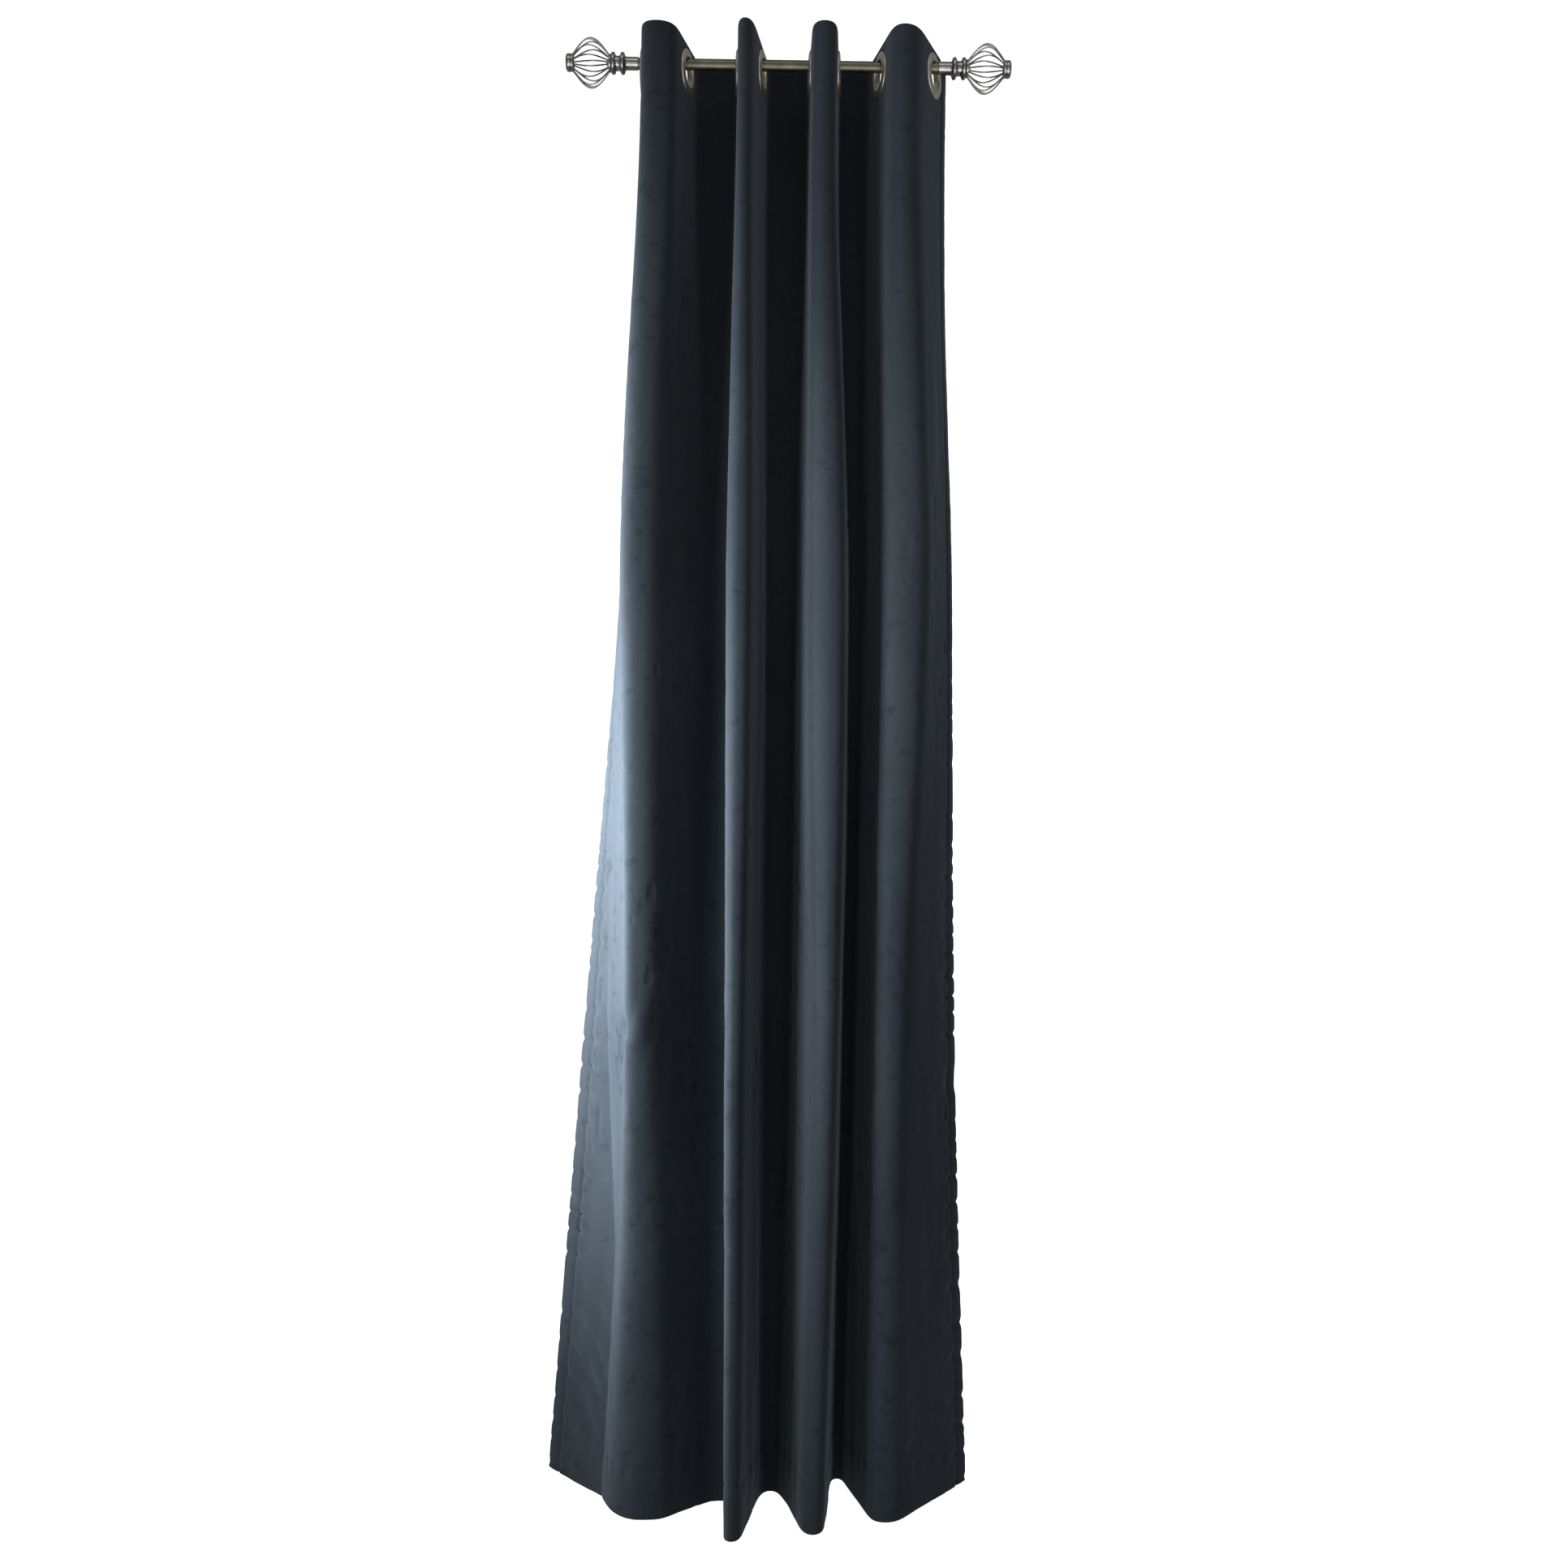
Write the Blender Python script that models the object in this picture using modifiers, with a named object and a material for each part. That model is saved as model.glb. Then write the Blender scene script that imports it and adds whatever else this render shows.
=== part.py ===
"""Velvet curtain panel with eight eyelets, hanging in folds from a short metal rod with cage finials.

Metres, +Z up. +X runs along the rod, -Y is the room side, and the origin is on the rod's axis at mid-length.
"""

import math

import bmesh
import bpy
import numpy as np
from mathutils import Matrix, Vector

# Rod
ROD_DIAMETER = 0.016
ROD_WALL = 0.001
ROD_LENGTH = 0.438

# Cloth panel
PANEL_WIDTH = 1.321
PANEL_DROP = 2.134
CLOTH_THICKNESS = 0.0016
INTERFACING_THICKNESS = 0.0006
HEADING_DEPTH = 0.100
BOTTOM_HEM = 0.076
SIDE_HEM = 0.025
THREAD_DIAMETER = 0.0006

# Eyelets
EYELET_COUNT = 8
EYELET_HOLE = 0.040
EYELET_DIAMETER = 0.063
EYELET_DOME = 0.0030
EYELET_BARREL_WALL = 0.0014
EYELET_EDGE_MARGIN = 0.060
EYELET_TOP_MARGIN = 0.008
EYELET_END_GAP = 0.007
# Relative gaps between neighbouring eyelets along the rod, and how far each cloth flank turns from the rod's normal
EYELET_GAPS = (64, 75, 34, 72, 39, 62, 78)
EYELET_TURNS = (2, 13, 1, 9, 1, 3, 13, 23)

# Finials
NECK_DIAMETER = 0.0184
NECK_LENGTH = 0.020
BEAD_DIAMETER = 0.031
BEAD_WIDTH = 0.0064
WAIST_DIAMETER = 0.0205
WAIST_LENGTH = 0.0074
HUB_DIAMETER = 0.0250
HUB_THICKNESS = 0.0030
CAGE_DIAMETER = 0.069
CAGE_LENGTH = 0.058
CAGE_WIRES = 14
WIRE_DIAMETER = 0.0022
CAP_DIAMETER = 0.0252
CAP_THICKNESS = 0.0072
PLUG_LENGTH = 0.024
STUB_DIAMETER = 0.010
SCREW_DIAMETER = 0.005
SCREW_DEPTH = 0.012
SCREW_HEAD_DIAMETER = 0.010
SCREW_HEAD_HEIGHT = 0.0034
RIVET_DIAMETER = 0.006

# Clearances
LAYER_GAP = 0.0003
FIT_GAP = 0.0003
HANG_GAP = 0.0005
FLANGE_MARGIN = 0.001

# The folds below the heading, at one third, two thirds and all of the way down. Across the rod they are shares of
# half the distance between the end eyelets. Depths from the rod's plane are shares of the eyelets' pitch, and each
# row is then deepened or flattened until the cloth keeps its width.
FLANK_FRONT_X = (
    (-1.08, -0.88, -0.37, -0.20, 0.20, 0.44, 0.74, 0.97),
    (-1.00, -0.84, -0.33, -0.20, 0.27, 0.43, 0.71, 0.88),
    (-0.99, -0.74, -0.28, -0.175, 0.25, 0.385, 0.72, 0.88),
)
FLANK_BACK_X = (
    (-1.13, -0.46, -0.30, -0.10, 0.12, 0.47, 0.58, 1.21),
    (-1.36, -0.42, -0.25, -0.07, 0.11, 0.48, 0.57, 1.29),
    (-1.58, -0.37, -0.22, -0.03, 0.08, 0.46, 0.54, 1.42),
)
FRONT_DEPTH = (
    (0.39, 0.48, 0.48, 0.34),
    (0.35, 0.56, 0.52, 0.30),
    (0.31, 0.69, 0.55, 0.27),
)
BACK_DEPTH = (
    (0.41, 0.39, 0.42, 0.48, 0.42),
    (0.50, 0.32, 0.36, 0.55, 0.50),
    (0.74, 0.13, 0.37, 0.64, 0.62),
)
# Sideways bow of the leading flank, between its edge and its front
LEADING_BOW = (0.0, 0.17, 0.02)

# Mesh fineness
PITCH_COLUMNS = 9
MARGIN_COLUMNS = 2
CLOTH_ROWS = (0.22, 0.5, 0.76)
SPAN_SAMPLES = 8
EYELET_SIDES = 20
ROD_SIDES = 24
TURNED_SIDES = 18
WIRE_POINTS = 7

COLLECTION = "velvet_curtain_panel"

EYELET_PITCH = (PANEL_WIDTH - 2 * EYELET_EDGE_MARGIN) / (EYELET_COUNT - 1)
HALF_SPAN = ROD_LENGTH / 2 - EYELET_END_GAP
EYELET_Z = ROD_DIAMETER / 2 + HANG_GAP - EYELET_HOLE / 2
PANEL_TOP = EYELET_Z + EYELET_DIAMETER / 2 + EYELET_TOP_MARGIN
INTERFACING_OFFSET = -(CLOTH_THICKNESS + INTERFACING_THICKNESS) / 2 - LAYER_GAP
FACING_OFFSET = INTERFACING_OFFSET - (CLOTH_THICKNESS + INTERFACING_THICKNESS) / 2 - LAYER_GAP
HEM_OFFSET = -CLOTH_THICKNESS - LAYER_GAP


# ---------------------------------------------------------------- cloth shape


def spline(points, samples=SPAN_SAMPLES):
    """A uniform cubic B-spline that starts and ends on its outer control points."""
    ends = 2 * points[0] - points[1], 2 * points[-1] - points[-2]
    p = np.vstack([ends[0], points, ends[1]])
    t = (np.arange(samples) / samples)[:, None]
    basis = ((1 - t) ** 3, 3 * t**3 - 6 * t**2 + 4, -3 * t**3 + 3 * t**2 + 3 * t + 1, t**3)
    spans = [
        sum(weight * p[i + k] for k, weight in enumerate(basis)) / 6
        for i in range(len(p) - 3)
    ]
    return np.vstack([*spans, points[-1]])


def arc_length(curve):
    """Distance along a polyline, at each of its points."""
    return np.concatenate([[0], np.cumsum(np.linalg.norm(np.diff(curve, axis=0), axis=1))])


def bisect(too_short, low, high):
    for _ in range(40):
        middle = (low + high) / 2
        if too_short(middle):
            low = middle
        else:
            high = middle
    return (low + high) / 2


def eyelet_places():
    """Where each eyelet sits along the rod, from the relative gaps."""
    along = np.concatenate([[0], np.cumsum(EYELET_GAPS)]) / sum(EYELET_GAPS)
    return (2 * along - 1) * HALF_SPAN


def is_left_flank(i):
    """True for the flanks that lead forwards, on the left of a front fold."""
    return i % 2 == 0


def forward(i):
    """The way that flank i runs from back to front at the heading."""
    turn = math.radians(EYELET_TURNS[i])
    return np.array([math.sin(turn) if is_left_flank(i) else -math.sin(turn), -math.cos(turn)])


def straight_reach(reach):
    """How far from an eyelet's centre the cloth stays flat: half of the fold's reach, and at least past the flange."""
    return max(reach / 2, EYELET_DIAMETER / 2 + FLANGE_MARGIN)


def fold_reach(i, centres):
    """How far the fold between flanks i and i+1 reaches, so that it holds one pitch of cloth."""
    side = 1 if is_left_flank(i) else -1
    ways = side * forward(i), side * forward(i + 1)

    def too_short(reach):
        along = -straight_reach(reach), 0, straight_reach(reach), reach
        start = [centres[i] + ways[0] * distance for distance in along]
        end = [centres[i + 1] + ways[1] * distance for distance in along[::-1]]
        curve = spline(np.array(start + end))
        inner = curve[SPAN_SAMPLES : -SPAN_SAMPLES]
        return arc_length(inner)[-1] < EYELET_PITCH

    return bisect(too_short, 0.01, EYELET_PITCH)


def in_cloth_order(i, points):
    """The control points of flank i, given from back to front, in the order in which the cloth meets them."""
    return points if is_left_flank(i) else points[::-1]


def heading_level():
    """Control points of the heading, where the cloth passes straight through each eyelet."""
    centres = [np.array([x, 0.0]) for x in eyelet_places()]
    reaches = [fold_reach(i, centres) for i in range(EYELET_COUNT - 1)]
    edge = EYELET_EDGE_MARGIN
    points = []
    for i, centre in enumerate(centres):
        before = reaches[i - 1] if i > 0 else edge
        after = reaches[i] if i < EYELET_COUNT - 1 else edge
        front, back = (after, before) if is_left_flank(i) else (before, after)
        along = -back, -straight_reach(back), 0, straight_reach(front), front
        points += in_cloth_order(i, [centre + distance * forward(i) for distance in along])
    return np.array(points)


def lower_level(front_x, back_x, front_depth, back_depth, bow):
    """Control points of a row below the heading, from the positions of its folds."""
    points = []
    for i in range(EYELET_COUNT):
        front = np.array([front_x[i] * HALF_SPAN, -front_depth[i // 2] * EYELET_PITCH])
        back = np.array([back_x[i] * HALF_SPAN, back_depth[(i + 1) // 2] * EYELET_PITCH])
        centre = (front + back) / 2
        if i == 0:
            centre = centre + np.array([bow * HALF_SPAN, -abs(bow) * HALF_SPAN])
        points += in_cloth_order(i, [back, (back + centre) / 2, centre, (centre + front) / 2, front])
    return np.array(points)


def fold_levels():
    lower = zip(FLANK_FRONT_X, FLANK_BACK_X, FRONT_DEPTH, BACK_DEPTH, LEADING_BOW)
    return [heading_level(), *(lower_level(*level) for level in lower)]


def between_levels(levels, share):
    """Control points at a share of the way down, on a smooth curve through the levels."""
    place = min(max(share, 0.0), 1.0) * (len(levels) - 1)
    i = min(int(place), len(levels) - 2)
    t = place - i
    a, b = levels[i], levels[i + 1]
    slope_a = (b - levels[i - 1]) / 2 if i > 0 else 0 * a
    slope_b = (levels[i + 2] - a) / 2 if i + 2 < len(levels) else b - a
    return (
        (2 * t**3 - 3 * t**2 + 1) * a
        + (t**3 - 2 * t**2 + t) * slope_a
        + (3 * t**2 - 2 * t**3) * b
        + (t**3 - t**2) * slope_b
    )


def fold_row(levels, share):
    """The plan of the folds at a share of the way down, as long as the cloth is wide."""
    control = between_levels(levels, share)

    def deepened(scale):
        return spline(control * np.array([1.0, scale]))

    scale = bisect(lambda k: arc_length(deepened(k))[-1] < PANEL_WIDTH, 0.3, 3.0)
    return deepened(scale)


def cloth_columns():
    """Distances across the cloth of the mesh's columns: at each side hem's edge, and through each eyelet."""
    first, last = EYELET_EDGE_MARGIN, PANEL_WIDTH - EYELET_EDGE_MARGIN
    margin = np.linspace(SIDE_HEM + LAYER_GAP, first, MARGIN_COLUMNS, endpoint=False)
    middle = np.linspace(first, last, PITCH_COLUMNS * (EYELET_COUNT - 1) + 1)
    left = np.concatenate([[0, SIDE_HEM], margin])
    return np.concatenate([left, middle, PANEL_WIDTH - left[::-1]])


def cloth_rows():
    """Distances down the cloth of the mesh's rows."""
    top, bottom = HEADING_DEPTH, PANEL_DROP - BOTTOM_HEM
    return np.array([0, top, *(top + share * (bottom - top) for share in CLOTH_ROWS), bottom, PANEL_DROP])


def cloth_grid():
    """Points (row, column, xyz) of the cloth's middle, and the sideways vector that offsets each by one metre."""
    levels = fold_levels()
    across, down = cloth_columns(), cloth_rows()
    points = np.zeros((len(down), len(across), 3))
    for r, distance in enumerate(down):
        share = (distance - HEADING_DEPTH) / (PANEL_DROP - HEADING_DEPTH)
        curve = fold_row(levels, share)
        along = arc_length(curve)
        points[r, :, 0] = np.interp(across, along, curve[:, 0])
        points[r, :, 1] = np.interp(across, along, curve[:, 1])
        points[r, :, 2] = PANEL_TOP
        if r:
            step = distance - down[r - 1]
            sideways = np.linalg.norm(points[r, :, :2] - points[r - 1, :, :2], axis=1)
            points[r, :, 2] = points[r - 1, :, 2] - np.sqrt(step**2 - sideways**2)
    return points, face_offsets(points)


def face_offsets(points):
    """Mitred offsets towards the cloth's face, in plan."""
    along = np.diff(points[:, :, :2], axis=1)
    along /= np.linalg.norm(along, axis=2, keepdims=True)
    normals = np.stack([along[..., 1], -along[..., 0]], axis=2)
    before = np.concatenate([normals[:, :1], normals], axis=1)
    after = np.concatenate([normals, normals[:, -1:]], axis=1)
    both = before + after
    offsets = 2 * both / (both * both).sum(axis=2, keepdims=True)
    return np.concatenate([offsets, np.zeros(offsets.shape[:2] + (1,))], axis=2)


# ---------------------------------------------------------------- Blender helpers


def clear_scene():
    for obj in list(bpy.data.objects):
        bpy.data.objects.remove(obj)


def new_collection(name):
    collection = bpy.data.collections.new(name)
    bpy.context.scene.collection.children.link(collection)
    return collection


def material(name, colour, roughness, metallic):
    made = bpy.data.materials.new(name)
    made.use_nodes = True
    shader = made.node_tree.nodes["Principled BSDF"]
    shader.inputs["Base Color"].default_value = (*colour, 1.0)
    shader.inputs["Roughness"].default_value = roughness
    shader.inputs["Metallic"].default_value = metallic
    return made


def velvet():
    return material("charcoal_velvet", (0.016, 0.021, 0.027), 0.85, 0.0)


def buckram():
    return material("white_buckram", (0.72, 0.71, 0.67), 0.9, 0.0)


def thread():
    return material("charcoal_thread", (0.012, 0.015, 0.019), 0.7, 0.0)


def pewter():
    return material("pewter", (0.10, 0.095, 0.065), 0.38, 1.0)


def nickel():
    return material("brushed_nickel", (0.46, 0.44, 0.41), 0.25, 1.0)


def eyelet_metal():
    return material("eyelet_metal", (0.36, 0.34, 0.28), 0.3, 1.0)


def nylon():
    return material("black_nylon", (0.02, 0.02, 0.02), 0.5, 0.0)


def add_object(name, data, made_of, collection):
    obj = bpy.data.objects.new(name, data)
    collection.objects.link(obj)
    if made_of and not data.materials:
        data.materials.append(made_of)
    return obj


def mesh_from(name, points, faces=(), edges=()):
    mesh = bpy.data.meshes.new(name)
    mesh.from_pydata([tuple(map(float, p)) for p in points], edges, faces)
    mesh.validate()
    return mesh


def turned(name, profile, made_of, collection, sides=TURNED_SIDES, closed=False, mesh=None):
    """A shape turned about its own Z axis. The profile is (radius, height), down its outer side."""
    if mesh is None:
        count = len(profile)
        edges = [(i, i + 1) for i in range(count - 1)] + [(count - 1, 0)] * closed
        mesh = mesh_from(name, [(r, 0, z) for r, z in profile], edges=edges)
    obj = add_object(name, mesh, made_of, collection)
    screw = obj.modifiers.new("turn", "SCREW")
    screw.axis = "Z"
    screw.steps = screw.render_steps = sides
    screw.use_merge_vertices = True
    screw.merge_threshold = 0.00001
    screw.use_smooth_shade = True
    return obj


def cut(obj, cutter, operation="DIFFERENCE"):
    boolean = obj.modifiers.new("cut", "BOOLEAN")
    boolean.operation = operation
    boolean.solver = "EXACT"
    boolean.object = cutter


def as_cutter(obj):
    obj.hide_render = True
    obj.display_type = "WIRE"
    return obj


def evaluated_mesh(obj):
    """A plain mesh of the object with its modifiers applied and its caps welded."""
    graph = bpy.context.evaluated_depsgraph_get()
    mesh = bpy.data.meshes.new_from_object(obj.evaluated_get(graph))
    work = bmesh.new()
    work.from_mesh(mesh)
    bmesh.ops.remove_doubles(work, verts=work.verts, dist=0.00001)
    work.to_mesh(mesh)
    work.free()
    return mesh


def joined_mesh(name, parts):
    """One mesh of several (mesh, matrix) pairs, each still a body of its own."""
    work = bmesh.new()
    for mesh, matrix in parts:
        copy = mesh.copy()
        copy.transform(matrix)
        work.from_mesh(copy)
        bpy.data.meshes.remove(copy)
    mesh = bpy.data.meshes.new(name)
    work.to_mesh(mesh)
    work.free()
    return mesh


# ---------------------------------------------------------------- rod and finials


def rod_tube(collection):
    outer, half = ROD_DIAMETER / 2, ROD_LENGTH / 2
    inner = outer - ROD_WALL
    profile = [(outer, half), (outer, -half), (inner, -half), (inner, half)]
    tube = turned("rod_tube", profile, pewter(), collection, sides=ROD_SIDES, closed=True)
    tube.rotation_euler = (0, math.radians(90), 0)


def bead(middle, radius, base_radius):
    """Profile points of one rounded bead, from its top to its foot."""
    points = []
    for angle in (90, 45, 0, -45, -90):
        a = math.radians(angle)
        share = math.cos(a)
        points.append((base_radius + (radius - base_radius) * share, middle + math.sin(a) * BEAD_WIDTH / 2))
    return points


def finial_heights():
    """Distances of the finial's features from the rod's end, outwards."""
    near_bead = NECK_LENGTH + BEAD_WIDTH / 2
    far_bead = near_bead + BEAD_WIDTH + WAIST_LENGTH
    seat = far_bead + BEAD_WIDTH / 2
    return near_bead, far_bead, seat


def finial_base(name, made_of, collection):
    """The turned neck with its two beads, a stub for the plug and a bore for the screw."""
    near_bead, far_bead, seat = finial_heights()
    neck, waist = NECK_DIAMETER / 2, WAIST_DIAMETER / 2
    bore = SCREW_DIAMETER / 2 + FIT_GAP
    profile = [
        (0, seat - SCREW_DEPTH),
        (bore, seat - SCREW_DEPTH),
        (bore, seat),
        (HUB_DIAMETER / 2 - 0.002, seat),
        *bead(far_bead, BEAD_DIAMETER / 2, waist + 0.001),
        (waist, (near_bead + far_bead) / 2),
        *bead(near_bead, BEAD_DIAMETER / 2, waist + 0.001)[:-1],
        (neck + 0.0012, NECK_LENGTH - 0.0005),
        (neck, NECK_LENGTH - 0.003),
        (neck, FIT_GAP),
        (STUB_DIAMETER / 2, FIT_GAP),
        (STUB_DIAMETER / 2, -PLUG_LENGTH),
        (0, -PLUG_LENGTH),
    ]
    return turned(name, profile, made_of, collection)


def finial_plug(name, made_of, collection):
    """The nylon sleeve on the stub, which slides into the rod."""
    outer = ROD_DIAMETER / 2 - ROD_WALL - FIT_GAP
    inner = STUB_DIAMETER / 2 + FIT_GAP
    lead = 0.0015
    profile = [
        (outer, 0),
        (outer, lead - PLUG_LENGTH),
        (outer - lead / 2, -PLUG_LENGTH),
        (inner, -PLUG_LENGTH),
        (inner, 0),
    ]
    return turned(name, profile, made_of, collection, closed=True)


def cage_bounds():
    """Distances from the rod's end at which the cage starts and ends."""
    start = finial_heights()[2] + FIT_GAP
    return start, start + CAGE_LENGTH


def wire_path():
    """(radius, height) points along one cage wire, from disc to disc."""
    start, end = cage_bounds()
    low, high = start + HUB_THICKNESS / 2, end - HUB_THICKNESS / 2
    foot = HUB_DIAMETER / 2 - WIRE_DIAMETER
    swell = (CAGE_DIAMETER - WIRE_DIAMETER) / 2 - foot
    points = []
    for i in range(WIRE_POINTS):
        share = i / (WIRE_POINTS - 1)
        points.append((foot + swell * math.sin(math.pi * share), low + (high - low) * share))
    return points


def wire_curve(path):
    curve = bpy.data.curves.new("wire", "CURVE")
    curve.dimensions = "3D"
    curve.bevel_depth = WIRE_DIAMETER / 2
    curve.bevel_resolution = 0
    curve.use_fill_caps = True
    line = curve.splines.new("POLY")
    line.points.add(len(path) - 1)
    for point, (radius, height) in zip(line.points, path):
        point.co = (radius, 0, height, 1)
    return curve


def cage_discs(name, collection):
    """The hub disc, drilled for the screw, and the end disc, drilled for the cap's rivet, as one helper mesh."""
    start, end = cage_bounds()
    holes = (SCREW_DIAMETER / 2 + FIT_GAP, start), (RIVET_DIAMETER / 2 + FIT_GAP, end - HUB_THICKNESS)
    parts = []
    for inner, low in holes:
        high, outer = low + HUB_THICKNESS, HUB_DIAMETER / 2
        profile = [(outer, high), (outer, low), (inner, low), (inner, high)]
        disc = turned("disc", profile, None, collection, closed=True)
        parts.append((evaluated_mesh(disc), Matrix()))
        bpy.data.objects.remove(disc)
    return joined_mesh(name, parts)


def finial_cage(name, made_of, collection, cutters):
    """The wires welded between the two discs: one body."""
    wire = add_object("wire", wire_curve(wire_path()), None, cutters)
    one = evaluated_mesh(wire)
    bpy.data.objects.remove(wire)
    turns = [Matrix.Rotation(2 * math.pi * (i + 0.25) / CAGE_WIRES, 4, "Z") for i in range(CAGE_WIRES)]
    wires = add_object(name + "_wires", joined_mesh("wires", [(one, turn) for turn in turns]), None, cutters)
    cage = add_object(name, cage_discs(name, collection), made_of, collection)
    cut(cage, as_cutter(wires), "UNION")
    return cage


def finial_screw(name, made_of, collection):
    """The pan-head screw that holds the cage's hub disc on the base, seen inside the cage."""
    start = cage_bounds()[0]
    under_head = start + HUB_THICKNESS + FIT_GAP
    tip = finial_heights()[2] - SCREW_DEPTH + FIT_GAP
    shank, head = SCREW_DIAMETER / 2, SCREW_HEAD_DIAMETER / 2
    profile = [
        (0, under_head + SCREW_HEAD_HEIGHT),
        (head * 0.6, under_head + SCREW_HEAD_HEIGHT * 0.9),
        (head, under_head + SCREW_HEAD_HEIGHT * 0.4),
        (head, under_head),
        (shank, under_head),
        (shank, tip),
        (0, tip),
    ]
    return turned(name, profile, made_of, collection, sides=16)


def finial_cap(name, made_of, collection):
    """The button on the cage's end disc, with its rivet through the disc and a flat outer face."""
    end = cage_bounds()[1]
    foot, top = end + FIT_GAP, end + FIT_GAP + CAP_THICKNESS
    rim, rivet = CAP_DIAMETER / 2, RIVET_DIAMETER / 2
    profile = [
        (0, top),
        (rim * 0.62, top),
        (rim * 0.86, top - CAP_THICKNESS * 0.14),
        (rim, top - CAP_THICKNESS * 0.38),
        (rim, foot + CAP_THICKNESS * 0.2),
        (rim * 0.92, foot),
        (rivet, foot),
        (rivet, end - HUB_THICKNESS - FIT_GAP),
        (0, end - HUB_THICKNESS - FIT_GAP),
    ]
    return turned(name, profile, made_of, collection)


def finial(side, sign, metals, collection, cutters):
    """All pieces of one finial, stood on the rod's end by a shared empty."""
    bright, black = metals
    parts = (
        finial_base(side + "_finial_base", bright, collection),
        finial_plug(side + "_finial_plug", black, collection),
        finial_cage(side + "_finial_cage", bright, collection, cutters),
        finial_screw(side + "_finial_screw", bright, collection),
        finial_cap(side + "_finial_cap", bright, collection),
    )
    end = add_object(side + "_rod_end", None, None, collection)
    end.location = (sign * ROD_LENGTH / 2, 0, 0)
    end.rotation_euler = (0, sign * math.radians(90), 0)
    for part in parts:
        part.parent = end
    bpy.data.objects[side + "_finial_cage_wires"].parent = end


# ---------------------------------------------------------------- eyelets


def eyelet_frames(points, offsets):
    """For each eyelet, its centre on the cloth and the way that the cloth faces there."""
    frames = []
    for i in range(EYELET_COUNT):
        column = 2 + MARGIN_COLUMNS + i * PITCH_COLUMNS
        x, y = points[0, column, :2]
        facing = Vector(offsets[0, column])
        frames.append((Vector((x, y, EYELET_Z)), facing.normalized()))
    return frames


def grip():
    """Heights, from the cloth's middle, at which the two flanges close on the heading's layers."""
    face = CLOTH_THICKNESS / 2 + LAYER_GAP
    back = FACING_OFFSET - CLOTH_THICKNESS / 2 - LAYER_GAP
    return face, back


def eyelet_front_profile():
    """The face half: a domed flange and the barrel that goes through the cloth."""
    face, back = grip()
    hole, rim = EYELET_HOLE / 2, EYELET_DIAMETER / 2
    barrel = hole + EYELET_BARREL_WALL
    return [
        (hole + 0.0035, face + EYELET_DOME),
        (rim - 0.004, face + EYELET_DOME * 0.86),
        (rim, face + EYELET_DOME * 0.2),
        (rim, face),
        (barrel, face),
        (barrel, back - EYELET_DOME * 0.6),
        (hole, back - EYELET_DOME * 0.6),
        (hole, face + EYELET_DOME * 0.55),
    ]


def eyelet_back_profile():
    """The back half: a flange that snaps round the barrel."""
    back = grip()[1]
    rim = EYELET_DIAMETER / 2
    inner = EYELET_HOLE / 2 + EYELET_BARREL_WALL + FIT_GAP
    return [
        (inner, back),
        (rim, back),
        (rim, back - EYELET_DOME * 0.2),
        (rim - 0.004, back - EYELET_DOME * 0.86),
        (inner + 0.002, back - EYELET_DOME),
        (inner, back - EYELET_DOME * 0.6),
    ]


def eyelets(frames, collection):
    metal = eyelet_metal()
    halves = ("front", eyelet_front_profile()), ("back", eyelet_back_profile())
    for half, profile in halves:
        shared = None
        for number, (centre, facing) in enumerate(frames, 1):
            name = f"eyelet_{number}_{half}"
            ring = turned(name, profile, metal, collection, EYELET_SIDES, closed=True, mesh=shared)
            ring.location = centre
            ring.rotation_mode = "QUATERNION"
            ring.rotation_quaternion = facing.to_track_quat("Z", "Y")
            shared = ring.data


def eyelet_cutters(frames, cutters):
    """Cylinders that punch the heading's layers, a little wider than the barrels."""
    face, back = grip()
    radius = EYELET_HOLE / 2 + EYELET_BARREL_WALL + FIT_GAP
    work = bmesh.new()
    bmesh.ops.create_cone(
        work, cap_ends=True, segments=EYELET_SIDES, radius1=radius, radius2=radius, depth=2 * (face - back)
    )
    punch = bpy.data.meshes.new("punch")
    work.to_mesh(punch)
    work.free()
    places = []
    for centre, facing in frames:
        turn = facing.to_track_quat("Z", "Y").to_matrix().to_4x4()
        middle = centre + facing * (face + back) / 2
        places.append((punch, Matrix.Translation(middle) @ turn))
    return as_cutter(add_object("eyelet_punches", joined_mesh("punches", places), None, cutters))


# ---------------------------------------------------------------- cloth pieces


def cloth_layer(name, grid, rows, columns, offset, thickness, made_of, collection):
    """One layer of the sewn panel, over a block of the grid's rows and columns, at an offset from its middle."""
    points, offsets = grid
    block = points[rows, columns] + offset * offsets[rows, columns]
    height, width = block.shape[:2]
    faces = [
        (r * width + c, (r + 1) * width + c, (r + 1) * width + c + 1, r * width + c + 1)
        for r in range(height - 1)
        for c in range(width - 1)
    ]
    obj = add_object(name, mesh_from(name, block.reshape(-1, 3), faces), made_of, collection)
    solid = obj.modifiers.new("thickness", "SOLIDIFY")
    solid.thickness = thickness
    solid.offset = 0
    solid.use_even_offset = True
    return obj


def stitching(name, line, made_of, collection):
    """A sewing thread along a line of points."""
    curve = bpy.data.curves.new(name, "CURVE")
    curve.dimensions = "3D"
    curve.bevel_depth = THREAD_DIAMETER / 2
    curve.bevel_resolution = 0
    curve.use_fill_caps = True
    seam = curve.splines.new("POLY")
    seam.points.add(len(line) - 1)
    for point, place in zip(seam.points, line):
        point.co = (*place, 1)
    return add_object(name, curve, made_of, collection)


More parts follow.
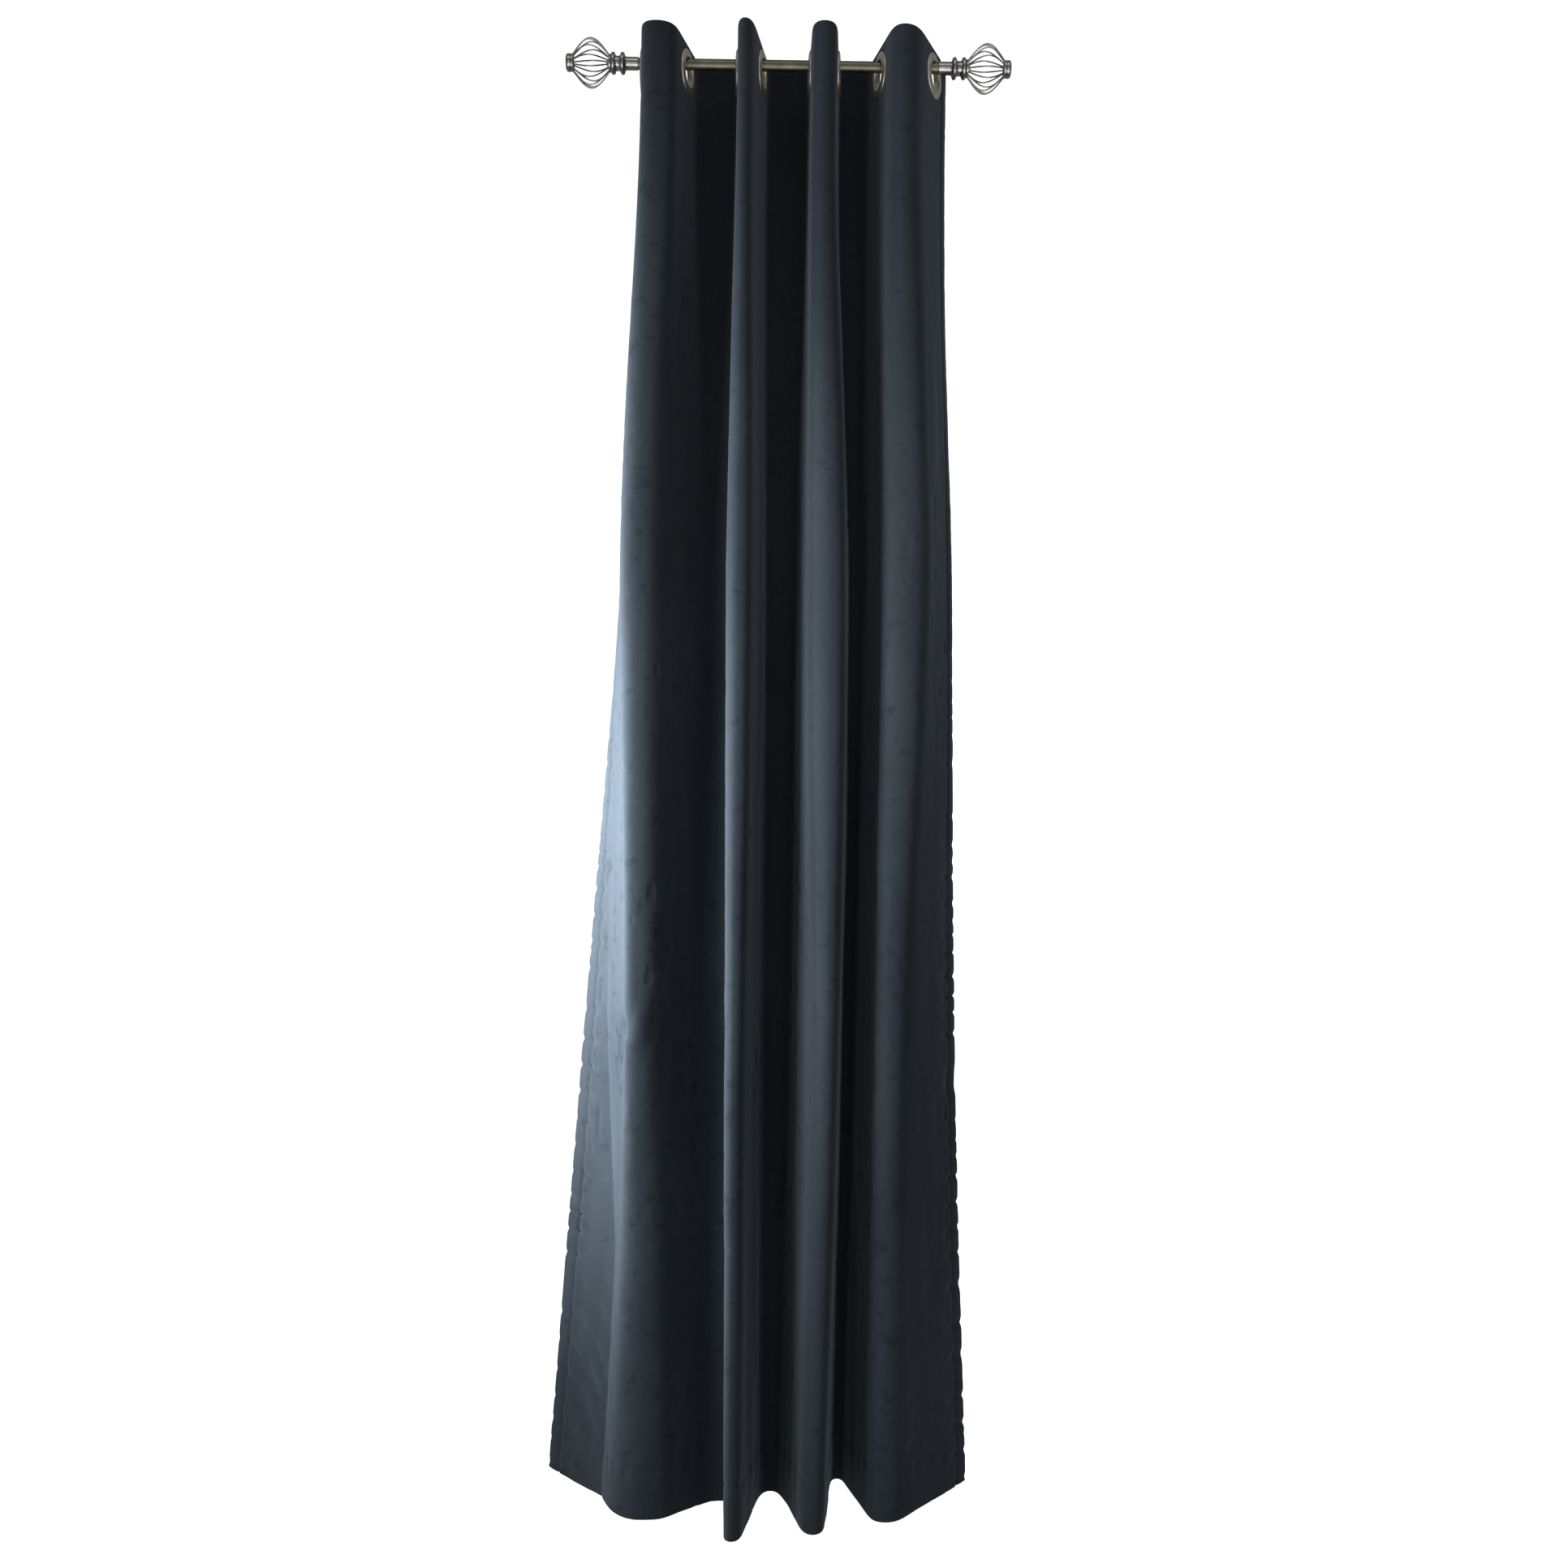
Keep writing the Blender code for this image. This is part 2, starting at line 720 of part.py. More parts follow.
def cloth_pieces(grid, punches, collection):
    """The velvet panel, its turned hems and heading, and the threads that hold them."""
    points, offsets = grid
    pile, stiff, cotton = velvet(), buckram(), thread()
    every, inner = slice(None), slice(2, -2)
    heading, hem = slice(0, 2), slice(-2, None)
    panel = cloth_layer("velvet_panel", grid, every, every, 0, CLOTH_THICKNESS, pile, collection)
    lining = cloth_layer(
        "heading_interfacing", grid, heading, inner, INTERFACING_OFFSET, INTERFACING_THICKNESS, stiff, collection
    )
    facing = cloth_layer("heading_facing", grid, heading, inner, FACING_OFFSET, CLOTH_THICKNESS, pile, collection)
    for layer in (panel, lining, facing):
        cut(layer, punches)
    cloth_layer("bottom_hem", grid, hem, inner, HEM_OFFSET, CLOTH_THICKNESS, pile, collection)
    cloth_layer("left_side_hem", grid, every, slice(0, 2), HEM_OFFSET, CLOTH_THICKNESS, pile, collection)
    cloth_layer("right_side_hem", grid, every, slice(-2, None), HEM_OFFSET, CLOTH_THICKNESS, pile, collection)
    seams = points + (CLOTH_THICKNESS / 2 + LAYER_GAP + THREAD_DIAMETER / 2) * offsets
    stitching("heading_stitching", seams[1, inner], cotton, collection)
    stitching("bottom_hem_stitching", seams[-2, inner], cotton, collection)
    stitching("left_side_stitching", seams[:, 1], cotton, collection)
    stitching("right_side_stitching", seams[:, -2], cotton, collection)


def build():
    clear_scene()
    collection = new_collection(COLLECTION)
    cutters = new_collection("cutters")
    rod_tube(collection)
    metals = nickel(), nylon()
    finial("left", -1, metals, collection, cutters)
    finial("right", 1, metals, collection, cutters)
    grid = cloth_grid()
    frames = eyelet_frames(*grid)
    eyelets(frames, collection)
    cloth_pieces(grid, eyelet_cutters(frames, cutters), collection)


build()
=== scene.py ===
"""Looks of the velvet curtain panel: cloth, stitches, eyelets, rod, finials, materials, light and camera.

Metres, +Z up. +X runs along the rod, -Y is the room side, and the origin is on the rod's axis at mid-length.
"""

import math

import bmesh
import bpy
import numpy as np
from mathutils import Matrix, Vector

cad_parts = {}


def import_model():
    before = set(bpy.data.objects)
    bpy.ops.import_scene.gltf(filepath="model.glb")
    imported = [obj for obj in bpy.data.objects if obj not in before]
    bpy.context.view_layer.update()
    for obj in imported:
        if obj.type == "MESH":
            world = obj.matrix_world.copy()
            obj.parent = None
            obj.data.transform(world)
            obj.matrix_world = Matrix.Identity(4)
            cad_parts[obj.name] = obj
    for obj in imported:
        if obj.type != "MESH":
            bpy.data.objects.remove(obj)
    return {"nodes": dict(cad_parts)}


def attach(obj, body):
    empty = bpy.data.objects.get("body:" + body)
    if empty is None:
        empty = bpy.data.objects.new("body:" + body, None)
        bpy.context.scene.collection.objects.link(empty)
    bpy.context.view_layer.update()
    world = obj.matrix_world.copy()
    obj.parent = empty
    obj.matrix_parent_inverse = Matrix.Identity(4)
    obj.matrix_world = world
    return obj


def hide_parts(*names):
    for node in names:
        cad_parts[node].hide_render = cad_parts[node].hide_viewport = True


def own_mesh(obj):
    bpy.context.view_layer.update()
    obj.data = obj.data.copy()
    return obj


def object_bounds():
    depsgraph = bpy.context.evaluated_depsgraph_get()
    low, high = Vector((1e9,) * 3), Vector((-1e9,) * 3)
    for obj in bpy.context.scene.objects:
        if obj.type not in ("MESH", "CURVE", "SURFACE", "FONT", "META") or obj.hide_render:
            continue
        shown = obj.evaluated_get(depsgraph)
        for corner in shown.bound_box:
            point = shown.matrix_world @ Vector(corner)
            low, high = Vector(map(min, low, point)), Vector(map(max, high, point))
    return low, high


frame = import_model()
cad_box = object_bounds()

# Sizes shared with the CAD model
ROD_DIAMETER = 0.016
ROD_WALL = 0.001
ROD_LENGTH = 0.438
PANEL_WIDTH = 1.321
PANEL_DROP = 2.134
CLOTH_THICKNESS = 0.0016
INTERFACING_THICKNESS = 0.0006
HEADING_DEPTH = 0.100
BOTTOM_HEM = 0.076
SIDE_HEM = 0.025
EYELET_COUNT = 8
EYELET_HOLE = 0.040
EYELET_DIAMETER = 0.063
EYELET_DOME = 0.0030
EYELET_BARREL_WALL = 0.0014
EYELET_EDGE_MARGIN = 0.060
EYELET_TOP_MARGIN = 0.008
EYELET_END_GAP = 0.007
EYELET_GAPS = (64, 75, 34, 72, 39, 62, 78)
EYELET_TURNS = (2, 13, 1, 9, 1, 3, 13, 23)
NECK_DIAMETER = 0.0184
NECK_LENGTH = 0.020
BEAD_DIAMETER = 0.031
BEAD_WIDTH = 0.0064
WAIST_DIAMETER = 0.0205
WAIST_LENGTH = 0.0074
HUB_DIAMETER = 0.0250
HUB_THICKNESS = 0.0030
CAGE_DIAMETER = 0.069
CAGE_LENGTH = 0.058
CAGE_WIRES = 14
WIRE_DIAMETER = 0.0022
CAP_DIAMETER = 0.0252
CAP_THICKNESS = 0.0072
STUB_DIAMETER = 0.010
PLUG_LENGTH = 0.024
SCREW_DIAMETER = 0.005
SCREW_DEPTH = 0.012
RIVET_DIAMETER = 0.006
LAYER_GAP = 0.0003
FIT_GAP = 0.0003
HANG_GAP = 0.0005
FLANGE_MARGIN = 0.001

# The CAD model's folds, at one third, two thirds and all of the way down
FLANK_FRONT_X = (
    (-1.08, -0.88, -0.37, -0.20, 0.20, 0.44, 0.74, 0.97),
    (-1.00, -0.84, -0.33, -0.20, 0.27, 0.43, 0.71, 0.88),
    (-0.99, -0.74, -0.28, -0.175, 0.25, 0.385, 0.72, 0.88),
)
FLANK_BACK_X = (
    (-1.13, -0.46, -0.30, -0.10, 0.12, 0.47, 0.58, 1.21),
    (-1.36, -0.42, -0.25, -0.07, 0.11, 0.48, 0.57, 1.29),
    (-1.58, -0.37, -0.22, -0.03, 0.08, 0.46, 0.54, 1.42),
)
FRONT_DEPTH = (
    (0.39, 0.48, 0.48, 0.34),
    (0.35, 0.56, 0.52, 0.30),
    (0.31, 0.69, 0.55, 0.27),
)
BACK_DEPTH = (
    (0.41, 0.39, 0.42, 0.48, 0.42),
    (0.50, 0.32, 0.36, 0.55, 0.50),
    (0.74, 0.13, 0.37, 0.64, 0.62),
)
LEADING_BOW = (0.0, 0.17, 0.02)

# Fineness. Columns are finer over the leading fold's width, and rows between two distances about its pinch.
SPAN_SAMPLES = 24
TABLE_ACROSS = 0.001
TABLE_DOWN = 0.006
COLUMN = 0.0045
FINE_COLUMN = 0.0025
LEADING_FOLD = 0.20
ROW = 0.0045
FINE_ROW = 0.0035
PINCH_ROWS = (1.37, 1.56)
HEADING_ROW = 0.005
HEM_ROW = 0.0055
ROLL_STEPS = 7
INTERFACING_COLUMNS = 281
INTERFACING_ROWS = 21
EYELET_SIDES = 72
TURNED_SIDES = 64
WIRE_STEPS = 45
WIRE_SIDES = 12
SHARP_ANGLE = 38
STRAND_SHARP_ANGLE = 60

# Sewing. The side hems' extra layers end between the two distances of their step.
STITCH_LENGTH = 0.0029
STITCH_PITCH = 0.0038
STITCH_DIAMETER = 0.0007
STITCH_WANDER = 0.00012
SEAM_START = 0.004
SIDE_SEAM = 0.0225
HEM_SEAM = 0.073
HEADING_SEAM = 0.097
INTERFACING_SIDE_INSET = 0.005
INTERFACING_TOP_INSET = 0.004
INTERFACING_BOTTOM_INSET = 0.001
BARREL_CLEARANCE = 0.0009
SIDE_HEM_STEP = (0.0235, 0.0285)

# Relief: heights and pitches of the marks in the cloth. The crease's place across and its depth are given at
# distances down, and the pinch's place is across and down.
SEAM_GROOVE = 0.0014
PUCKER_PITCH = 0.040
PUCKER_HEIGHT = 0.0062
PUCKER_DRAW = 0.0022
HEM_PUCKER_PITCH = 0.036
LONG_WAVE = 0.0018
PACKET_FOLD_PITCH = 0.36
DENT_DEPTH = 0.0014
CREASE_ACROSS = (1.15, 1.42, 1.78, 2.13), (0.040, 0.055, 0.105, 0.125)
CREASE_DEPTH = (1.15, 1.40, 1.75, 2.13), (0.0, 0.008, 0.022, 0.014)
PINCH_PLACE = (0.142, 1.432)
PINCH_DEPTH = 0.016
SLANT_PITCH = 0.058

EYELET_PITCH = (PANEL_WIDTH - 2 * EYELET_EDGE_MARGIN) / (EYELET_COUNT - 1)
HALF_SPAN = ROD_LENGTH / 2 - EYELET_END_GAP
EYELET_Z = ROD_DIAMETER / 2 + HANG_GAP - EYELET_HOLE / 2
PANEL_TOP = EYELET_Z + EYELET_DIAMETER / 2 + EYELET_TOP_MARGIN
INTERFACING_OFFSET = -(CLOTH_THICKNESS + INTERFACING_THICKNESS) / 2 - LAYER_GAP
FACING_OFFSET = INTERFACING_OFFSET - (CLOTH_THICKNESS + INTERFACING_THICKNESS) / 2 - LAYER_GAP
HEM_OFFSET = -CLOTH_THICKNESS - LAYER_GAP


# ---- the folds, as in the CAD model


def spline(points, samples=SPAN_SAMPLES):
    """A uniform cubic B-spline that starts and ends on its outer control points."""
    ends = 2 * points[0] - points[1], 2 * points[-1] - points[-2]
    p = np.vstack([ends[0], points, ends[1]])
    t = (np.arange(samples) / samples)[:, None]
    basis = ((1 - t) ** 3, 3 * t**3 - 6 * t**2 + 4, -3 * t**3 + 3 * t**2 + 3 * t + 1, t**3)
    spans = [sum(weight * p[i + k] for k, weight in enumerate(basis)) / 6 for i in range(len(p) - 3)]
    return np.vstack([*spans, points[-1]])


def arc_length(curve):
    """Distance along a polyline, at each of its points."""
    return np.concatenate([[0], np.cumsum(np.linalg.norm(np.diff(curve, axis=0), axis=1))])


def bisect(too_short, low, high):
    """The value between low and high at which too_short stops being true."""
    for _ in range(40):
        middle = (low + high) / 2
        if too_short(middle):
            low = middle
        else:
            high = middle
    return (low + high) / 2


def eyelet_places():
    """Where each eyelet sits along the rod, from the relative gaps."""
    along = np.concatenate([[0], np.cumsum(EYELET_GAPS)]) / sum(EYELET_GAPS)
    return (2 * along - 1) * HALF_SPAN


def is_left_flank(i):
    """True for the flanks that lead forwards, on the left of a front fold."""
    return i % 2 == 0


def forward(i):
    """The way that flank i runs from back to front at the heading."""
    turn = math.radians(EYELET_TURNS[i])
    return np.array([math.sin(turn) if is_left_flank(i) else -math.sin(turn), -math.cos(turn)])


def straight_reach(reach):
    """How far from an eyelet's centre the cloth stays flat."""
    return max(reach / 2, EYELET_DIAMETER / 2 + FLANGE_MARGIN)


def fold_reach(i, centres):
    """How far the fold between flanks i and i+1 reaches, so that it holds one pitch of cloth."""
    side = 1 if is_left_flank(i) else -1
    ways = side * forward(i), side * forward(i + 1)

    def too_short(reach):
        along = -straight_reach(reach), 0, straight_reach(reach), reach
        start = [centres[i] + ways[0] * distance for distance in along]
        end = [centres[i + 1] + ways[1] * distance for distance in along[::-1]]
        curve = spline(np.array(start + end))
        inner = curve[SPAN_SAMPLES : -SPAN_SAMPLES]
        return arc_length(inner)[-1] < EYELET_PITCH

    return bisect(too_short, 0.01, EYELET_PITCH)


def in_cloth_order(i, points):
    """The control points of flank i, given from back to front, in the order in which the cloth meets them."""
    return points if is_left_flank(i) else points[::-1]


def heading_level():
    """Control points of the heading, where the cloth passes straight through each eyelet."""
    centres = [np.array([x, 0.0]) for x in eyelet_places()]
    reaches = [fold_reach(i, centres) for i in range(EYELET_COUNT - 1)]
    edge = EYELET_EDGE_MARGIN
    points = []
    for i, centre in enumerate(centres):
        before = reaches[i - 1] if i > 0 else edge
        after = reaches[i] if i < EYELET_COUNT - 1 else edge
        front, back = (after, before) if is_left_flank(i) else (before, after)
        along = -back, -straight_reach(back), 0, straight_reach(front), front
        points += in_cloth_order(i, [centre + distance * forward(i) for distance in along])
    return np.array(points)


def lower_level(front_x, back_x, front_depth, back_depth, bow):
    """Control points of a row below the heading, from the positions of its folds."""
    points = []
    for i in range(EYELET_COUNT):
        front = np.array([front_x[i] * HALF_SPAN, -front_depth[i // 2] * EYELET_PITCH])
        back = np.array([back_x[i] * HALF_SPAN, back_depth[(i + 1) // 2] * EYELET_PITCH])
        centre = (front + back) / 2
        if i == 0:
            centre = centre + np.array([bow * HALF_SPAN, -abs(bow) * HALF_SPAN])
        points += in_cloth_order(i, [back, (back + centre) / 2, centre, (centre + front) / 2, front])
    return np.array(points)


def fold_levels():
    """Control points of the heading and of each level given below it."""
    lower = zip(FLANK_FRONT_X, FLANK_BACK_X, FRONT_DEPTH, BACK_DEPTH, LEADING_BOW)
    return [heading_level(), *(lower_level(*level) for level in lower)]


def between_levels(levels, share):
    """Control points at a share of the way down, on a smooth curve through the levels."""
    place = min(max(share, 0.0), 1.0) * (len(levels) - 1)
    i = min(int(place), len(levels) - 2)
    t = place - i
    a, b = levels[i], levels[i + 1]
    slope_a = (b - levels[i - 1]) / 2 if i > 0 else 0 * a
    slope_b = (levels[i + 2] - a) / 2 if i + 2 < len(levels) else b - a
    return (
        (2 * t**3 - 3 * t**2 + 1) * a
        + (t**3 - 2 * t**2 + t) * slope_a
        + (3 * t**2 - 2 * t**3) * b
        + (t**3 - t**2) * slope_b
    )


class Folds:
    """The smooth folded cloth as tables of points and normals over its flat width and drop."""

    def __init__(self):
        self.across = np.arange(0, PANEL_WIDTH + TABLE_ACROSS, TABLE_ACROSS)
        self.down = np.arange(0, PANEL_DROP + TABLE_DOWN, TABLE_DOWN)
        self.points = self.hung_rows()
        along = np.gradient(self.points, axis=1)
        fall = np.gradient(self.points, axis=0)
        normals = np.cross(fall, along)
        self.normals = normals / np.linalg.norm(normals, axis=2, keepdims=True)

    def hung_rows(self):
        """Points of each row, every row as long as the cloth is wide and hung below the row above."""
        levels = fold_levels()
        weights = spline(np.eye(len(levels[0])))
        rows = []
        for distance in self.down:
            share = (distance - HEADING_DEPTH) / (PANEL_DROP - HEADING_DEPTH)
            plan = weights @ between_levels(levels, share)
            deepen = bisect(lambda k: arc_length(plan * (1.0, k))[-1] < PANEL_WIDTH, 0.3, 3.0)
            curve = plan * (1.0, deepen)
            along = arc_length(curve)
            x, y = (np.interp(self.across, along, curve[:, axis]) for axis in (0, 1))
            z = np.full_like(x, PANEL_TOP)
            if rows:
                last = rows[-1]
                sideways = np.hypot(x - last[:, 0], y - last[:, 1])
                z = last[:, 2] - np.sqrt(TABLE_DOWN**2 - np.minimum(sideways, TABLE_DOWN * 0.9) ** 2)
            rows.append(np.stack([x, y, z], axis=1))
        return np.array(rows)

    def read(self, table, u, v):
        """A table's values at distances across and down, straight between its entries."""
        a = np.clip(u / TABLE_ACROSS, 0, len(self.across) - 1.001)
        b = np.clip(v / TABLE_DOWN, 0, len(self.down) - 1.001)
        i, j = a.astype(int), b.astype(int)
        s, t = (a - i)[..., None], (b - j)[..., None]
        above = table[j, i] * (1 - s) + table[j, i + 1] * s
        below = table[j + 1, i] * (1 - s) + table[j + 1, i + 1] * s
        return above * (1 - t) + below * t

    def surface(self, u, v, offset):
        """Points of the finished cloth, with its relief, at an offset towards its face."""
        normal = self.read(self.normals, u, v)
        shifted = u + edge_shift(u, v)
        return self.read(self.points, shifted, v) + normal * (offset + relief(u, v))[..., None]


# ---- wrinkles, seams and puckers


def ramp(x, low, high):
    """0 below low, 1 above high, and a smooth rise between them."""
    t = np.clip((x - low) / (high - low), 0, 1)
    return t * t * (3 - 2 * t)


def hump(x, middle, reach):
    """1 at the middle, falling to nothing a few reaches away."""
    return np.exp(-(((x - middle) / reach) ** 2))


def ripple(u, v, across, down, seed):
    """Smooth noise from -1 to 1 over the flat cloth, in blobs of that size."""
    margin = 0.3
    size = int((PANEL_DROP + 2 * margin) / down) + 3, int((PANEL_WIDTH + 2 * margin) / across) + 3
    lattice = np.random.default_rng(seed).uniform(-1, 1, size)
    a, b = (u + margin) / across, (v + margin) / down
    i, j = a.astype(int), b.astype(int)
    s, t = (x * x * x * (x * (6 * x - 15) + 10) for x in (a - i, b - j))
    above = lattice[j, i] * (1 - s) + lattice[j, i + 1] * s
    below = lattice[j + 1, i] * (1 - s) + lattice[j + 1, i + 1] * s
    return above * (1 - t) + below * t


def side_distance(u):
    """Distance to the nearer side edge."""
    return np.minimum(u, PANEL_WIDTH - u)


def pucker_wave(u, v):
    """Uneven pads down the side hems, parted by narrow grooves."""
    side = np.where(u < PANEL_WIDTH / 2, 0.0, 1.0)
    phase = v / PUCKER_PITCH + 1.3 * ripple(side, v, 0.9, 0.11, 11)
    strength = 0.65 + 0.35 * ripple(side, v, 0.9, 0.09, 12)
    return (0.25 - hump(phase % 1, 0.5, 0.11)) * strength


def edge_shift(u, v):
    """How far the puckers draw the side edges in."""
    drawn = -PUCKER_DRAW * pucker_wave(u, v) * ramp(v, 0.5, 1.3) * (1 - ramp(side_distance(u), 0.0, 0.03))
    return np.where(u < PANEL_WIDTH / 2, drawn, -drawn)


def side_seam_relief(u, v):
    """The stitched-down line of each side hem, and puckers that run from it into the cloth."""
    edge = side_distance(u)
    groove = -SEAM_GROOVE * hump(edge, SIDE_SEAM, 0.0026)
    swell = 0.0006 * hump(edge, SIDE_SEAM / 2, 0.008)
    strength = PUCKER_HEIGHT * (0.12 + 0.88 * ramp(v, 0.8, 1.4))
    reach = np.where(edge < SIDE_SEAM, 0.45 + 0.55 * edge / SIDE_SEAM, hump(edge, SIDE_SEAM, 0.012))
    return groove + swell + strength * pucker_wave(u, v) * reach


def bottom_hem_relief(u, v):
    """The stitched hem line, a fuller band below it and short puckers across it."""
    above = v - (PANEL_DROP - HEM_SEAM)
    groove = -0.0010 * hump(above, 0, 0.0030)
    swell = 0.0007 * hump(above, 0.030, 0.022)
    wave = np.sin(2 * np.pi * (u / HEM_PUCKER_PITCH + 1.1 * ripple(u, 0 * v, 0.13, 0.9, 21)))
    return groove + swell + 0.0005 * wave * hump(above, 0.004, 0.022)


def heading_relief(u, v):
    """The stitched line below the stiffened heading, with a faint step under it."""
    below = v - HEADING_SEAM
    return -0.0008 * hump(below, 0, 0.0028) + 0.0003 * ripple(u, v, 0.03, 0.05, 31) * hump(below, 0.01, 0.03)


def hang_relief(u, v):
    """Long soft waves of cloth that was folded in its packet and then hung."""
    loose = ramp(v, 0.12, 0.6)
    long_waves = LONG_WAVE * ripple(u, v, 0.060, 0.60, 41) + 0.0007 * ripple(u, v, 0.028, 0.21, 42)
    packet = hump((v - 0.12) % PACKET_FOLD_PITCH, PACKET_FOLD_PITCH / 2, 0.012)
    packed = 0.0005 * packet * ripple(u, v, 0.09, PACKET_FOLD_PITCH, 43)
    return loose * (long_waves + packed)


def crush_relief(u, v):
    """Small dents and streaks where the pile and backing were pressed."""
    fine = ripple(u, v, 0.011, 0.016, 51) * ripple(u, v, 0.07, 0.10, 52)
    dents = ramp(ripple(u, v, 0.013, 0.021, 53), 0.62, 0.95) * ramp(ripple(u, v, 0.10, 0.20, 54), -0.1, 0.5)
    return ramp(v, 0.15, 0.5) * (0.00045 * fine - DENT_DEPTH * dents)


def leading_valley(u, v):
    """The long crease down the leading fold, where the cloth from the hem dips before it rises again."""
    line = np.interp(v, *CREASE_ACROSS)
    depth = np.interp(v, *CREASE_DEPTH)
    return -depth * np.where(u < line, u / line, np.exp(-np.maximum(u - line, 0) / 0.030))


def leading_pinch(u, v):
    """A pinched pocket beside the crease, a swelling beyond it and small creases that hang from it."""
    du, dv = u - PINCH_PLACE[0], v - PINCH_PLACE[1]
    lip = np.where(dv > 0, hump(dv, 0, 0.009), hump(dv, 0, 0.014))
    pocket = np.where(du > 0, hump(du, 0, 0.008), hump(du, 0, 0.020))
    swell = hump(du, 0.028, 0.013) * hump(dv, -0.004, 0.030)
    tails = hump(du, -0.010 - 0.20 * dv, 0.005) + hump(du, -0.026 - 0.10 * dv, 0.004)
    below = ramp(dv, 0.0, 0.02) * (1 - ramp(dv, 0.04, 0.10))
    return -PINCH_DEPTH * lip * pocket + 0.005 * swell - 0.0024 * tails * below


def leading_relief(u, v):
    """What marks the leading fold: a long crease, a pinched pocket and slanted wrinkles above the hem."""
    slant = np.sin(2 * np.pi * ((v - 0.62 * u) / SLANT_PITCH + 0.9 * ripple(u, v, 0.09, 0.12, 61)))
    slant *= 0.0010 * hump(v, 1.93, 0.17) * ramp(u, 0.015, 0.045) * (1 - ramp(u, 0.07, 0.16))
    return leading_valley(u, v) + leading_pinch(u, v) + slant


def relief(u, v):
    """How far the cloth stands proud of its smooth folds, towards its face."""
    parts = side_seam_relief, bottom_hem_relief, heading_relief, hang_relief, crush_relief, leading_relief
    return sum(part(u, v) for part in parts)


# ---- mesh helpers


def new_object(name, mesh, made_of=None):
    """An object in the scene, with a material where one is given."""
    obj = bpy.data.objects.new(name, mesh)
    bpy.context.scene.collection.objects.link(obj)
    if made_of:
        mesh.materials.append(made_of)
    return obj


def shade(mesh, sharp_degrees=SHARP_ANGLE):
    """Outward faces, shaded smooth but for the edges that turn sharply."""
    work = bmesh.new()
    work.from_mesh(mesh)
    bmesh.ops.recalc_face_normals(work, faces=work.faces)
    for face in work.faces:
        face.smooth = True
    for edge in work.edges:
        edge.smooth = len(edge.link_faces) != 2 or edge.calc_face_angle(0) < math.radians(sharp_degrees)
    work.to_mesh(mesh)
    work.free()


def mesh_from(name, points, faces, sharp_degrees=SHARP_ANGLE):
    """A shaded mesh of points and faces."""
    mesh = bpy.data.meshes.new(name)
    mesh.from_pydata([tuple(map(float, p)) for p in points], [], faces)
    shade(mesh, sharp_degrees)
    return mesh


def lathe(name, profile, sides=TURNED_SIDES, closed=False):
    """A mesh turned about +Z from (radius, height) points. Points on the axis become single vertices."""
    around = np.linspace(0, 2 * np.pi, sides, endpoint=False)
    points, rings = [], []
    for radius, height in profile:
        first = len(points)
        if radius < 1e-9:
            points.append((0, 0, height))
            rings.append([first] * sides)
        else:
            points += [(radius * math.cos(a), radius * math.sin(a), height) for a in around]
            rings.append(list(range(first, first + sides)))
    faces = []
    for ring, following in zip(rings, rings[1:] + (rings[:1] if closed else [])):
        for i in range(sides):
            j = (i + 1) % sides
            corners = ring[i], following[i], following[j], ring[j]
            faces.append(tuple(dict.fromkeys(corners)))
    return mesh_from(name, points, faces)


def tube(path, radius, sides):
    """Points and faces of a capped tube along a path that lies in its own XZ plane."""
    path = np.array(path, float)
    along = np.gradient(path, axis=0)
    along /= np.linalg.norm(along, axis=1, keepdims=True)
    across = np.stack([along[:, 2], 0 * along[:, 0], -along[:, 0]], axis=1)
    points = []
    for centre, out in zip(path, across):
        for a in np.linspace(0, 2 * np.pi, sides, endpoint=False):
            points.append(centre + radius * (math.cos(a) * out + math.sin(a) * np.array([0, 1, 0])))
    faces = []
    for first in range(0, (len(path) - 1) * sides, sides):
        for i in range(sides):
            j = (i + 1) % sides
            faces.append((first + i, first + sides + i, first + sides + j, first + j))
    last = (len(path) - 1) * sides
    faces += [tuple(range(sides)), tuple(range(last, last + sides))]
    return np.array(points), faces


def repeated(points, faces, placed):
    """Points and faces of a shape repeated at (origin, x axis, y axis, z axis) arrays."""
    origin, *axes = placed
    turned = sum(points[None, :, k, None] * axis[:, None, :] for k, axis in enumerate(axes))
    moved = origin[:, None, :] + turned
    size = len(points)
    every = [tuple(n * size + i for i in face) for n in range(len(origin)) for face in faces]
    return moved.reshape(-1, 3), every


def finish_piece(obj, body, slot, *nodes):
    """The piece moves with a body and stands for CAD nodes, which it hides. Its slot is not used."""
    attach(obj, body)
    if nodes:
        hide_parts(*nodes)
    return obj


# ---- cloth


def roll_radius(u, inner_gap):
    """Half the distance from the face to what is turned behind it. Four layers lie near the sides."""
    beside = 1.5 * -HEM_OFFSET
    inner = inner_gap / 2
    return beside + (inner - beside) * ramp(side_distance(u), *SIDE_HEM_STEP)


